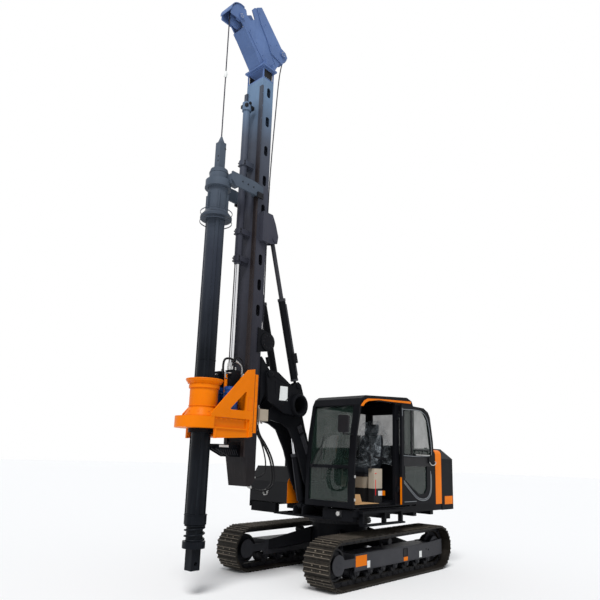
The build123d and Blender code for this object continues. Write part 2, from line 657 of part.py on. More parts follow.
with BuildPart() as cab:
    plate(CAB_OUTLINE, CAB_INNER_Y, SIDE_Y)
    plate(CAB_OUTLINE, CAB_INNER_Y + CAB_WALL, SIDE_Y - CAB_WALL, Mode.SUBTRACT, grow=-CAB_WALL)
    plate(DOOR_OUTLINE, SIDE_Y - CAB_WALL - 1, SIDE_Y + 1, Mode.SUBTRACT, grow=DOOR_GAP)
    x_low, x_high, z_low, z_high = SIDE_WINDOW
    block(x_low, x_high, SIDE_Y - CAB_WALL - 1, SIDE_Y + 1, z_low, z_high, Mode.SUBTRACT)
    x_low, x_high, z_low, z_high = RIGHT_WINDOW
    block(x_low, x_high, CAB_INNER_Y - 1, CAB_INNER_Y + CAB_WALL + 1, z_low, z_high, Mode.SUBTRACT)
    y_low, y_high, z_low, z_high = REAR_WINDOW
    block(CAB_REAR_X - 1, CAB_REAR_X + CAB_WALL + 1, y_low, y_high, z_low, z_high, Mode.SUBTRACT)
    for z_low, z_high in (FRONT_PANES_Z[0], (FRONT_PANES_Z[1][0], FRONT_PANES_Z[2][1])):
        block(CAB_FRONT_X - 240, CAB_FRONT_X + 1, CAB_INNER_Y + 70, SIDE_Y - CAB_PILLAR, z_low, z_high,
              Mode.SUBTRACT)
    for z in HINGE_HEIGHTS_Z:
        post(DOOR_HINGE_X, DOOR_HINGE_Y, KNUCKLE_RADIUS, z, z + KNUCKLE_HEIGHT)
        block(DOOR_HINGE_X - KNUCKLE_RADIUS, DOOR_HINGE_X + KNUCKLE_RADIUS, SIDE_Y - 5, DOOR_HINGE_Y, z,
              z + KNUCKLE_HEIGHT)
        post(DOOR_HINGE_X, DOOR_HINGE_Y, HINGE_PIN_RADIUS, z, z + 2 * KNUCKLE_HEIGHT)
finish(cab, "cab_shell")

with BuildPart() as cab_glass:
    for z_low, z_high in FRONT_PANES_Z:
        z_low += SEAT_GAP
        z_high -= SEAT_GAP
        depth = 30 + GLASS_THICK
        plate([(front_x(z_low) - depth, z_low), (front_x(z_low) - 30, z_low), (front_x(z_high) - 30, z_high),
               (front_x(z_high) - depth, z_high)], CAB_INNER_Y + 70 + SEAT_GAP, SIDE_Y - CAB_PILLAR - SEAT_GAP)
    for (x_low, x_high, z_low, z_high), y in ((SIDE_WINDOW, SIDE_Y - 30), (RIGHT_WINDOW, CAB_INNER_Y + 25)):
        block(x_low + SEAT_GAP, x_high - SEAT_GAP, y, y + GLASS_THICK, z_low + SEAT_GAP, z_high - SEAT_GAP)
    y_low, y_high, z_low, z_high = REAR_WINDOW
    block(CAB_REAR_X + 25, CAB_REAR_X + 25 + GLASS_THICK, y_low + SEAT_GAP, y_high - SEAT_GAP,
          z_low + SEAT_GAP, z_high - SEAT_GAP)
finish(cab_glass, "cab_glass")

with BuildPart() as mirror:
    y = SIDE_Y - CAB_PILLAR / 2
    bar(at(front_x(MIRROR_ARM_Z - 11) + SEAT_GAP, y, MIRROR_ARM_Z), at(MIRROR_X, y, MIRROR_ARM_Z), 11)
    bar(at(MIRROR_X, y, MIRROR_ARM_Z - 11), at(MIRROR_X, y, MIRROR_ARM_Z + 260), 11)
    with BuildSketch(Plane(origin=at(MIRROR_X + 5, y + 20, MIRROR_ARM_Z + 155), x_dir=(0, 1, 0), z_dir=(1, 0, 0))):
        RectangleRounded(200, 270, 30)
    extrude(amount=40)
finish(mirror, "cab_mirror")

with BuildPart() as seat:
    plate([(0, SEAT_Z), (520, SEAT_Z), (560, SEAT_Z + 60), (540, SEAT_Z + 140), (180, SEAT_Z + 110),
           (100, SEAT_Z + 500), (40, SEAT_Z + 920), (-40, SEAT_Z + 930), (-60, SEAT_Z + 500), (-20, SEAT_Z + 100)],
          SEAT_Y - 235, SEAT_Y + 235, corner=30)
    for y_sign in (-1, 1):
        block(-20, 330, *sorted((SEAT_Y + y_sign * 235, SEAT_Y + y_sign * 320)), SEAT_Z + 250, SEAT_Z + 330)
        block(0, 60, *sorted((SEAT_Y + y_sign * 235, SEAT_Y + y_sign * 280)), SEAT_Z + 60, SEAT_Z + 250)
finish(seat, "operator_seat")

with BuildPart() as seat_base:
    with BuildSketch(Plane(origin=at(260, SEAT_Y, 1450))):
        RectangleRounded(330, 330, 50)
    with BuildSketch(Plane(origin=at(260, SEAT_Y, SEAT_Z - SEAT_GAP))):
        RectangleRounded(480, 440, 70)
    loft()
    block(130, 420, SEAT_Y - 160, SEAT_Y + 160, CAB_FLOOR_Z + CAB_WALL + SEAT_GAP, 1450)
    for y_sign in (-1, 1):
        block(180, 420, *sorted((SEAT_Y + y_sign * 238, SEAT_Y + y_sign * 350)),
              CAB_FLOOR_Z + CAB_WALL + SEAT_GAP, 1780)
finish(seat_base, "seat_base")

def swung_open(points):
    """Outline on the door as it stands with the door swung right round against the cab's side."""
    return [(2 * DOOR_HINGE_X - x, z) for x, z in points]


DOOR_Y = 2 * DOOR_HINGE_Y - SIDE_Y - 5

with BuildPart() as door:
    plate(swung_open(DOOR_OUTLINE), DOOR_Y, DOOR_Y + DOOR_THICK)
    for z in HINGE_HEIGHTS_Z:
        z_low = z + KNUCKLE_HEIGHT + SEAT_GAP
        post(DOOR_HINGE_X, DOOR_HINGE_Y, KNUCKLE_RADIUS, z_low, z_low + KNUCKLE_HEIGHT)
        block(2 * DOOR_HINGE_X - DOOR_REAR_X - 15, DOOR_HINGE_X, DOOR_HINGE_Y + 6, DOOR_Y + 3, z_low,
              z_low + KNUCKLE_HEIGHT)
        post(DOOR_HINGE_X, DOOR_HINGE_Y, HINGE_PIN_RADIUS + RUNNING_GAP, z_low - 1, z_low + KNUCKLE_HEIGHT + 1,
             Mode.SUBTRACT)
    for window in DOOR_WINDOWS.values():
        plate(swung_open(window), DOOR_Y - 1, DOOR_Y + DOOR_THICK + 1, Mode.SUBTRACT, corner=WINDOW_CORNER)
finish(door, "door_frame")

with BuildPart() as door_glass:
    for window in DOOR_WINDOWS.values():
        plate(swung_open(window), DOOR_Y + 17, DOOR_Y + 17 + GLASS_THICK, corner=WINDOW_CORNER, grow=-SEAT_GAP)
finish(door_glass, "door_glass")

with BuildPart() as cab_step:
    block(-140, 1080, SIDE_Y + 10, SIDE_Y + 90, 1095, 1130)
    block(-120, 1040, SIDE_Y + 10, SIDE_Y + 110, 902, 930)
    for x in (-100, 400, 1010):
        block(x - 25, x + 25, SIDE_Y - 10 + SEAT_GAP, SIDE_Y + 60, 902, 1110)
finish(cab_step, "cab_step")

# Boom
with BuildPart() as boom:
    arm = [(560, 1180), (700, 1040), (914, 1120), (1200, 1540), (1400, 2040), (1610, 2370), (1790, 2457),
           (2070, 2500), (2110, 2620), (1850, 2900), (1500, 2950), (1330, 2720), (1180, 2300), (900, 1700)]
    for y_sign in (-1, 1):
        y_low, y_high = sorted((y_sign * BOOM_HALF_WIDTH, y_sign * (BOOM_HALF_WIDTH - ARM_THICK)))
        plate(arm, y_low, y_high, corner=45)
        h_low, h_high = sorted((y_sign * HEAD_PLATE_Y, y_sign * (HEAD_PLATE_Y - HEAD_PLATE_THICK)))
        plate([(1500, 2590), (1900, 2620), (2260, 2800), (MAST_PIVOT_X + 75, MAST_PIVOT_Z),
               (MAST_PIVOT_X, MAST_PIVOT_Z + 75), (2050, 3266), (1660, 3050), (1630, 3130), (1560, 3165),
               (1490, 3120), (1400, 2900)], h_low, h_high, corner=18)
        shaft(TILT_BASE_X, TILT_BASE_Z, CYLINDER_PIN_RADIUS,
              *sorted((y_sign * (TILT_Y - 55), y_sign * (HEAD_PLATE_Y - 5))))
        plate([(1450, 2930), (1640, 2930), (1620, 3130), (1560, 3160), (1490, 3120)],
              y_sign * (TILT_Y - 50) - 11, y_sign * (TILT_Y - 50) + 11)
    shaft(CROSS_TUBE_X, CROSS_TUBE_Z, CROSS_TUBE_RADIUS, -CROSS_TUBE_HALF, CROSS_TUBE_HALF)
    shaft(CROSS_TUBE_X, CROSS_TUBE_Z, CROSS_TUBE_BORE, -CROSS_TUBE_HALF - 1, CROSS_TUBE_HALF + 1, Mode.SUBTRACT)
    shaft(BOOM_FOOT_X, BOOM_FOOT_Z, PIVOT_PIN_RADIUS + RUNNING_GAP, -BOOM_HALF_WIDTH - 1, BOOM_HALF_WIDTH + 1,
          Mode.SUBTRACT)
    shaft(MAST_PIVOT_X, MAST_PIVOT_Z, PIVOT_PIN_RADIUS + RUNNING_GAP, -HEAD_PLATE_Y - 1, HEAD_PLATE_Y + 1,
          Mode.SUBTRACT)
    for y_sign in (-1, 1):
        shaft(LIFT_EYE_X, LIFT_EYE_Z, EYE_RADIUS, *sorted((y_sign * 46, y_sign * (BOOM_HALF_WIDTH - 10))))
    plate([(740, 1430), (770, 1415), (880, 1600), (855, 1625)], -BOOM_HALF_WIDTH + 5, BOOM_HALF_WIDTH - 5)
    plate([(1085, 2090), (1110, 2080), (1205, 2330), (1180, 2345)], -BOOM_HALF_WIDTH + 5, BOOM_HALF_WIDTH - 5)
finish(boom, "boom_arms")


def make_barrel(name, base, eye, y_places, radius, rod_radius, length, half_eye):
    """Cylinder barrels with bored base eyes, open at the rod's end."""
    with BuildPart() as barrel:
        for y in y_places:
            start, end = at(base[0], y, base[1]), at(eye[0], y, eye[1])
            line = (end - start).normalized()
            bar(start + line * (EYE_RADIUS + 40), start + line * length, radius)
            bar(start + line * (EYE_RADIUS - 15), start + line * (EYE_RADIUS + 50), 0.85 * half_eye)
            shaft(base[0], base[1], EYE_RADIUS, y - half_eye, y + half_eye)
            bar(start + line * (EYE_RADIUS + 60), start + line * (length + 1), rod_radius + RUNNING_GAP,
                Mode.SUBTRACT)
            shaft(base[0], base[1], CYLINDER_PIN_RADIUS + RUNNING_GAP, y - half_eye - 1, y + half_eye + 1,
                  Mode.SUBTRACT)
    finish(barrel, name)


def make_rod(name, base, eye, y_places, rod_radius, length, reach, half_eye):
    """Cylinder rods with their eyes, reaching some way into the barrel."""
    with BuildPart() as rod:
        for y in y_places:
            start, end = at(base[0], y, base[1]), at(eye[0], y, eye[1])
            line = (end - start).normalized()
            bar(start + line * (length - reach), end - line * (EYE_RADIUS - 12), rod_radius)
            shaft(eye[0], eye[1], EYE_RADIUS, y - half_eye, y + half_eye)
    finish(rod, name)


LIFT = (LIFT_BASE_X, LIFT_BASE_Z), (LIFT_EYE_X, LIFT_EYE_Z)
make_barrel("lift_cylinder_barrel", *LIFT, (0,), LIFT_BARREL_RADIUS, LIFT_ROD_RADIUS, LIFT_BARREL_LENGTH, 45)
make_rod("lift_cylinder_rod", *LIFT, (0,), LIFT_ROD_RADIUS, LIFT_BARREL_LENGTH, 500, 45)
TILT = (TILT_BASE_X, TILT_BASE_Z), (TILT_EYE_X, TILT_EYE_Z)
TILT_PLACES = (TILT_Y, -TILT_Y)
make_barrel("tilt_cylinder_barrels", *TILT, TILT_PLACES, TILT_BARREL_RADIUS, TILT_ROD_RADIUS,
            TILT_BARREL_LENGTH, 30)
make_rod("tilt_cylinder_rods", *TILT, TILT_PLACES, TILT_ROD_RADIUS, TILT_BARREL_LENGTH, TILT_ROD_REACH, 42)

# Mast
with BuildPart() as mast:
    outline = [(MAST_REAR_X, MAST_BOTTOM_Z + MAST_TOE), (MAST_REAR_X + MAST_TOE, MAST_BOTTOM_Z),
               (MAST_FRONT_X - MAST_TOE, MAST_BOTTOM_Z),
               (MAST_FRONT_X, MAST_TAPER_Z), (MAST_FRONT_X, MAST_TOP_Z), (MAST_REAR_X, MAST_TOP_Z)]
    plate(outline, -MAST_HALF_WIDTH, MAST_HALF_WIDTH)
    plate(outline, -MAST_HALF_WIDTH + MAST_WALL, MAST_HALF_WIDTH - MAST_WALL, Mode.SUBTRACT, grow=-MAST_WALL)
    with BuildSketch(side(MAST_HALF_WIDTH + 1)):
        for z in SLOT_HEIGHTS_Z:
            with Locations((SLOT_X, z)):
                SlotOverall(SLOT_HEIGHT, SLOT_WIDTH, rotation=90)
    extrude(amount=2 * MAST_HALF_WIDTH + 2, mode=Mode.SUBTRACT)
finish(mast, "mast_column")

with BuildPart() as rails:
    for y_sign in (-1, 1):
        y_low, y_high = sorted((y_sign * (MAST_HALF_WIDTH - 45), y_sign * RAIL_HALF_WIDTH))
        block(MAST_FRONT_X, RAIL_FRONT_X, y_low, y_high, MAST_TAPER_Z, RAIL_TOP_Z)
finish(rails, "mast_rails")

with BuildPart() as pivot:
    for y_sign in (-1, 1):
        y_low, y_high = sorted((y_sign * 160, y_sign * 235))
        plate([(MAST_REAR_X, 2700), (MAST_PIVOT_X - 60, MAST_PIVOT_Z - 70), (MAST_PIVOT_X - 80, MAST_PIVOT_Z),
               (MAST_PIVOT_X - 60, MAST_PIVOT_Z + 60), (MAST_REAR_X, 3480)], y_low, y_high)
    shaft(MAST_PIVOT_X, MAST_PIVOT_Z, PIVOT_PIN_RADIUS, -HEAD_PLATE_Y - 12, HEAD_PLATE_Y + 12)
finish(pivot, "mast_pivot_bracket")

with BuildPart() as ears:
    for y_sign in (-1, 1):
        y_mid = y_sign * TILT_Y
        for offset_y in (-54, 54):
            y = y_mid + offset_y
            plate([(MAST_REAR_X, 5390), (2330, 5390), (2200, 5430), (2180, 5560), (2250, 5760),
                   (2330, 5910), (MAST_REAR_X, 5910)], y - 9, y + 9)
        block(2320, MAST_REAR_X, *sorted((y_sign * 173, y_sign * 275)), 5760, 5910)
        block(MAST_REAR_X, MAST_REAR_X + 160, *sorted((y_sign * MAST_HALF_WIDTH, y_sign * 287)), 5390, 5910)
        for y_low, y_high in ((y_mid - 78, y_mid - 54), (y_mid + 54, y_mid + 78)):
            shaft(TILT_EYE_X, TILT_EYE_Z, 44, y_low, y_high)
finish(ears, "tilt_cylinder_ears")

with BuildPart() as winch_frame:
    for y_sign in (-1, 1):
        y_low, y_high = sorted((y_sign * MAST_HALF_WIDTH, y_sign * (MAST_HALF_WIDTH + 16)))
        plate([(MAST_REAR_X + 90, 3540), (MAST_REAR_X + 90, 3940), (2250, 3900), (2130, 3810), (2130, 3670),
               (2250, 3580)], y_low, y_high)
        shaft(WINCH_X, WINCH_Z, WINCH_CHEEK_RADIUS, *sorted((y_sign * 221, y_sign * 240)))
        shaft(WINCH_X, WINCH_Z, 40, *sorted((y_sign * 160, y_sign * MAST_HALF_WIDTH)))
finish(winch_frame, "winch_frame")

with BuildPart() as drum:
    shaft(WINCH_X, WINCH_Z, DRUM_RADIUS, -180, 180)
    for y in (-190, 174):
        shaft(WINCH_X, WINCH_Z, DRUM_FLANGE_RADIUS, y, y + 16)
    for y in (-191, 159):
        shaft(WINCH_X, WINCH_Z, 40 + RUNNING_GAP, y, y + 32, Mode.SUBTRACT)
finish(drum, "winch_drum")

with BuildPart() as head:
    block(MAST_REAR_X - 40, MAST_FRONT_X + 40, -240, 240, HEAD_FLANGE_Z - 30, HEAD_FLANGE_Z)
    block(MAST_REAR_X, MAST_FRONT_X, -MAST_HALF_WIDTH, MAST_HALF_WIDTH, MAST_TOP_Z, HEAD_FLANGE_Z - 30)
    block(MAST_REAR_X + 20, MAST_FRONT_X - 20, -MAST_HALF_WIDTH - 1, MAST_HALF_WIDTH + 1,
          MAST_TOP_Z + 20, HEAD_FLANGE_Z - 50, Mode.SUBTRACT)
    block(MAST_REAR_X - 1, MAST_FRONT_X + 1, -MAST_HALF_WIDTH + 20, MAST_HALF_WIDTH - 20,
          MAST_TOP_Z + 20, HEAD_FLANGE_Z - 50, Mode.SUBTRACT)
    web = [(MAST_REAR_X - 35, HEAD_FLANGE_Z - 1), (MAST_FRONT_X + 10, HEAD_FLANGE_Z - 1), (2985, 9110), (3160, 9290),
           (3385, 9287), (3380, 9400), (3290, 9530), (3182, 9590), (3060, 9560), (3034, 9464), (2941, 9428),
           (2842, 9518), (2918, 9669), (2870, 9740), (2760, 9790), (2450, 9520), (2170, 9300), (2050, 9280),
           (2005, 9200), (2060, 9100), (2172, 9030), (2270, 8850)]
    band = [(2830, 9764), (2713, 9847), (2175, 9330), (2060, 9300), (2010, 9225), (2050, 9120), (2172, 9017),
            (2431, 9075), (2533, 9271), (2704, 9498)]
    for y_sign in (-1, 1):
        plate(web, *sorted((y_sign * 112, y_sign * 134)), corner=14)
        plate(band, *sorted((y_sign * 130, y_sign * HEAD_PLATE_HALF_Y)), corner=14)
        shaft(FRONT_SHEAVE_X, FRONT_SHEAVE_Z, 60, *sorted((y_sign * 60, y_sign * 115)))
        shaft(REAR_SHEAVE_X, REAR_SHEAVE_Z, 60, *sorted((y_sign * 60, y_sign * 115)))
        shaft(FRONT_SHEAVE_X, FRONT_SHEAVE_Z, 48, *sorted((y_sign * 132, y_sign * 160)))
        shaft(REAR_SHEAVE_X, REAR_SHEAVE_Z, 55, *sorted((y_sign * 148, y_sign * 176)))
        # Gussets from the flange up to the webs
        for x in (MAST_REAR_X + 20, MAST_FRONT_X - 60):
            block(x, x + 20, *sorted((y_sign * 130, y_sign * 225)), HEAD_FLANGE_Z - 1, HEAD_FLANGE_Z + 130)
    # Plate along the girder's lower front, and the curved guard over the front sheave
    plate([(MAST_FRONT_X, HEAD_FLANGE_Z - 1), (MAST_FRONT_X + 22, HEAD_FLANGE_Z - 1), (3000, 9100), (3090, 9192),
           (3076, 9208), (2980, 9114)], -146, 146)
    ring_band(FRONT_SHEAVE_X, FRONT_SHEAVE_Z, GUARD_RADIUS, GUARD_RADIUS - 10, 0, 105, -146, 146)
    block(2450, 2600, -115, 115, HEAD_FLANGE_Z - 1, HEAD_FLANGE_Z + 250)
    shaft(FRONT_SHEAVE_X, FRONT_SHEAVE_Z, 30, -60, 60)
    shaft(REAR_SHEAVE_X, REAR_SHEAVE_Z, 30, -60, 60)
finish(head, "mast_head")


def make_sheave(name, x, z):
    with BuildPart() as sheave:
        with BuildSketch(Plane(origin=at(x, 0, z), x_dir=(1, 0, 0), z_dir=(0, 0, 1))):
            with BuildLine():
                Polyline((0, -SHEAVE_WIDTH / 2), (SHEAVE_RADIUS, -SHEAVE_WIDTH / 2),
                         (SHEAVE_RADIUS - SHEAVE_GROOVE, 0), (SHEAVE_RADIUS, SHEAVE_WIDTH / 2),
                         (0, SHEAVE_WIDTH / 2), close=True)
            make_face()
        revolve(axis=Axis(tuple(at(x, 0, z)), (0, 1, 0)))
        shaft(x, z, 30 + RUNNING_GAP, -SHEAVE_WIDTH, SHEAVE_WIDTH, Mode.SUBTRACT)
    finish(sheave, name)


make_sheave("front_sheave", FRONT_SHEAVE_X, FRONT_SHEAVE_Z)
make_sheave("rear_sheave", REAR_SHEAVE_X, REAR_SHEAVE_Z)

with BuildPart() as foot:
    block(MAST_FRONT_X, RAIL_FRONT_X, -140, 140, MAST_TAPER_Z, 2120)
    block(RAIL_FRONT_X, STOP_FRONT_X, -110, 110, 2045, 2080)
    for y in (-100, -8, 84):
        plate([(RAIL_FRONT_X, MAST_TAPER_Z), (RAIL_FRONT_X + 160, MAST_TAPER_Z), (STOP_FRONT_X, 2010),
               (STOP_FRONT_X, 2045), (RAIL_FRONT_X, 2045)], y, y + 16)
finish(foot, "mast_foot_stop")

with BuildPart() as crowd_barrel:
    post(CROWD_X, 0, CROWD_BARREL_RADIUS, CROWD_BARREL_BOTTOM_Z, CROWD_BARREL_TOP_Z)
    for z in CROWD_CLAMPS_Z:
        block(MAST_FRONT_X, CROWD_X, -CROWD_CLAMP_HALF, CROWD_CLAMP_HALF, z, z + CROWD_CLAMP_HEIGHT)
        post(CROWD_X, 0, CROWD_CLAMP_HALF, z, z + CROWD_CLAMP_HEIGHT)
    post(CROWD_X, 0, CROWD_CLAMP_HALF, CROWD_BARREL_TOP_Z - 50, CROWD_BARREL_TOP_Z + 100)
    post(CROWD_X, 0, CROWD_ROD_RADIUS + RUNNING_GAP, CROWD_BARREL_BOTTOM_Z - 1, CROWD_BARREL_TOP_Z - 60,
         Mode.SUBTRACT)
finish(crowd_barrel, "crowd_cylinder_barrel")

with BuildPart() as valve_block:
    block(2200, MAST_REAR_X - SEAT_GAP, VALVE_LOW_Y, VALVE_HIGH_Y, VALVE_BOTTOM_Z, VALVE_BOTTOM_Z + 180)
finish(valve_block, "mast_valve_block")


def make_hose(name, points, diameter):
    """Free hose through a few points, its bends rounded to a share of the shorter run beside each."""
    line = [Vector(SLEW_X + x, y, z) for x, y, z in points]
    ends = list(line)
    with BuildPart() as hose:
        with BuildLine() as route:
            here = ends[0]
            for before, corner, after in zip(line, line[1:], line[2:]):
                come = (corner - before).normalized()
                leave = (after - corner).normalized()
                reach = HOSE_BEND_SHARE * min((corner - before).length, (after - corner).length)
                enter, leave_at = corner - come * reach, corner + leave * reach
                Line(here, enter)
                half_turn = come.get_angle(leave) / 2
                radius = reach / math.tan(math.radians(half_turn))
                print(name, "bend radius", round(radius, 1))
                TangentArc(enter, leave_at, tangent=come)
                here = leave_at
            Line(here, ends[-1])
        with BuildSketch(Plane(origin=line[0], z_dir=line[1] - line[0])):
            Circle(diameter / 2)
        sweep(path=route.line)
    finish(hose, name)


for name, y, diameter, points in MAST_HOSES:
    make_hose(name, [(x, y, z) for x, z in points], diameter)

# Rotary drive
with BuildPart() as crowd_rod:
    post(CROWD_X, 0, CROWD_ROD_RADIUS, CROWD_EYE_Z, CROWD_ROD_TOP_Z)
finish(crowd_rod, "crowd_cylinder_rod")

with BuildPart() as carriage:
    channel_front = RAIL_FRONT_X + RUNNING_GAP + CHANNEL_DEPTH
    inner_y = DRIVE_PLATE_Y - DRIVE_PLATE_THICK
    case_seat_z = CASE_TOP_Z + SEAT_GAP
    box_top_z = CASE_BOTTOM_Z - SEAT_GAP
    for y_sign in (-1, 1):
        plate([(2618, 3227), (2751, 3201), (3415, 2500), (3415, case_seat_z), (2690, case_seat_z), (2690, 2190),
               (2618, 2205)], *sorted((y_sign * inner_y, y_sign * DRIVE_PLATE_Y)))
        y_low, y_high = sorted((y_sign * (inner_y - 1), y_sign * (DRIVE_PLATE_Y + 1)))
        plate([(2778, 2577), (3090, 2577), (2769, 2882)], y_low, y_high, Mode.SUBTRACT, corner=14)
        # Slide channels round the mast's rails
        block(RAIL_FRONT_X + RUNNING_GAP, channel_front, *sorted((y_sign * 120, y_sign * inner_y)),
              CHANNEL_BOTTOM_Z, CHANNEL_TOP_Z)
        block(MAST_FRONT_X - 92, RAIL_FRONT_X + RUNNING_GAP,
              *sorted((y_sign * (RAIL_HALF_WIDTH + RUNNING_GAP), y_sign * DRIVE_PLATE_Y)),
              CHANNEL_BOTTOM_Z + 15, CHANNEL_TOP_Z + 50)
        # Box under the gear case
        plate([(RAIL_FRONT_X + RUNNING_GAP, 2190), (3330, CARRIAGE_BOX_BOTTOM_Z), (3330, box_top_z),
               (RAIL_FRONT_X + RUNNING_GAP, box_top_z)], *sorted((y_sign * (inner_y - 25), y_sign * inner_y)))
        block(3305, 3330, *sorted((y_sign * (inner_y - 25), y_sign * (inner_y + 15))),
              CARRIAGE_BOX_BOTTOM_Z, box_top_z)
    block(channel_front - 20, 3090, -inner_y + 25, inner_y - 25, 2190, 2215)
    block(channel_front, CROWD_X - 30, -inner_y, inner_y, CROWD_EYE_Z - 100, CROWD_EYE_Z)
    block(channel_front, CROWD_X + 60, -70, 70, CROWD_EYE_Z - 100, CROWD_EYE_Z)
finish(carriage, "drive_carriage")

with BuildPart() as case:
    # Slab, let in under the side plates and round in front of them
    post(CASE_NOSE_X, 0, DRIVE_PLATE_Y, CASE_BOTTOM_Z, CASE_TOP_Z)
    block(CASE_NOSE_X - DRIVE_PLATE_Y - 1, CASE_NOSE_X, -DRIVE_PLATE_Y, DRIVE_PLATE_Y,
          CASE_BOTTOM_Z - 1, CASE_TOP_Z + 1, Mode.SUBTRACT)
    block(channel_front + SEAT_GAP, CASE_NOSE_X, -CASE_HALF_Y, CASE_HALF_Y, CASE_BOTTOM_Z, CASE_TOP_Z)
    block(channel_front + SEAT_GAP, CASE_NOSE_X, -DRIVE_PLATE_Y + 8, DRIVE_PLATE_Y - 8, CASE_BOTTOM_Z,
          CASE_BOTTOM_Z + CASE_LIP_HEIGHT)
    with BuildSketch(Plane(origin=at(KELLY_X, 0, 0), x_dir=(1, 0, 0), z_dir=(0, -1, 0))):
        with BuildLine():
            Polyline((0, CASE_TOP_Z - 10), (BARREL_FOOT_RADIUS, CASE_TOP_Z - 10),
                     (BARREL_FOOT_RADIUS, CASE_TOP_Z + 20),
                     (BARREL_RADIUS + 12, BARREL_FOOT_TOP_Z - 20), (BARREL_RADIUS, BARREL_FOOT_TOP_Z),
                     (BARREL_RADIUS, COLLAR_RIM_Z), (COLLAR_RIM_RADIUS, COLLAR_RIM_Z),
                     (COLLAR_RIM_RADIUS, COLLAR_RIM_Z + 50), (COLLAR_RIM_RADIUS - 8, COLLAR_RIM_Z + 60),
                     (FUNNEL_RADIUS - 10, FUNNEL_TOP_Z - 35), (FUNNEL_RADIUS, FUNNEL_TOP_Z - 25),
                     (FUNNEL_RADIUS, FUNNEL_TOP_Z), (FUNNEL_RADIUS - 25, FUNNEL_TOP_Z),
                     (SLEEVE_RADIUS + RUNNING_GAP, COLLAR_RIM_Z + 40), (0, COLLAR_RIM_Z + 40), close=True)
        make_face()
    revolve(axis=Axis((SLEW_X + KELLY_X, 0, 0), (0, 0, 1)))
    post(KELLY_X, 0, SLEEVE_RADIUS + RUNNING_GAP, CASE_BOTTOM_Z - 1, FUNNEL_TOP_Z + 1, Mode.SUBTRACT)
finish(case, "gear_case")

with BuildPart() as sleeve:
    post(KELLY_X, 0, SLEEVE_RADIUS, SLEEVE_BOTTOM_Z, COLLAR_RIM_Z + 30)
    post(KELLY_X, 0, SLEEVE_BORE, SLEEVE_BOTTOM_Z - 1, FUNNEL_TOP_Z, Mode.SUBTRACT)
finish(sleeve, "drive_sleeve")

with BuildPart() as motors:
    for y in (-MOTOR_Y, MOTOR_Y):
        post(MOTOR_X, y, MOTOR_RADIUS, CASE_TOP_Z + SEAT_GAP, MOTOR_TOP_Z - 90)
        post(MOTOR_X, y, MOTOR_RADIUS - 12, MOTOR_TOP_Z - 90, MOTOR_TOP_Z - 50)
        post(MOTOR_X, y, MOTOR_RADIUS - 4, MOTOR_TOP_Z - 50, MOTOR_TOP_Z)
finish(motors, "rotary_motors")

with BuildPart() as motor_blocks:
    for y in (-MOTOR_Y, MOTOR_Y):
        block(MOTOR_X - 112, MOTOR_X + 55, y - 78, y + 70, MOTOR_TOP_Z + SEAT_GAP, BRAKE_TOP_Z)
finish(motor_blocks, "motor_valve_blocks")

make_hose("drive_hose", [(x, DRIVE_HOSE_Y, z) for x, z in DRIVE_LOOP], DRIVE_HOSE_DIAMETER)

# Kelly
with BuildPart() as guide:
    post(KELLY_X, 0, GUIDE_RADIUS, GUIDE_BOTTOM_Z, GUIDE_STEP_Z)
    post(KELLY_X, 0, GUIDE_SLIM_RADIUS, GUIDE_STEP_Z, GUIDE_TOP_Z)
    post(KELLY_X, 0, GUIDE_BORE, GUIDE_BOTTOM_Z - 1, GUIDE_TOP_Z + 1, Mode.SUBTRACT)
    for y_sign in (-1, 1):
        plate([(3240, 6210), (3240, 6350), (2740, 6360), (2560, 6330), (2560, 6150), (2700, 6130),
               (3160, 6130)],
              *sorted((y_sign * (RAIL_HALF_WIDTH + RUNNING_GAP), y_sign * (RAIL_HALF_WIDTH + 33))))
        block(3060, 3240, *sorted((y_sign * 120, y_sign * (RAIL_HALF_WIDTH + RUNNING_GAP))), 6150, 6320)
        block(RAIL_FRONT_X + RUNNING_GAP, RAIL_FRONT_X + 40,
              *sorted((y_sign * 130, y_sign * (RAIL_HALF_WIDTH + RUNNING_GAP))), 6150, 6320)
finish(guide, "kelly_guide")

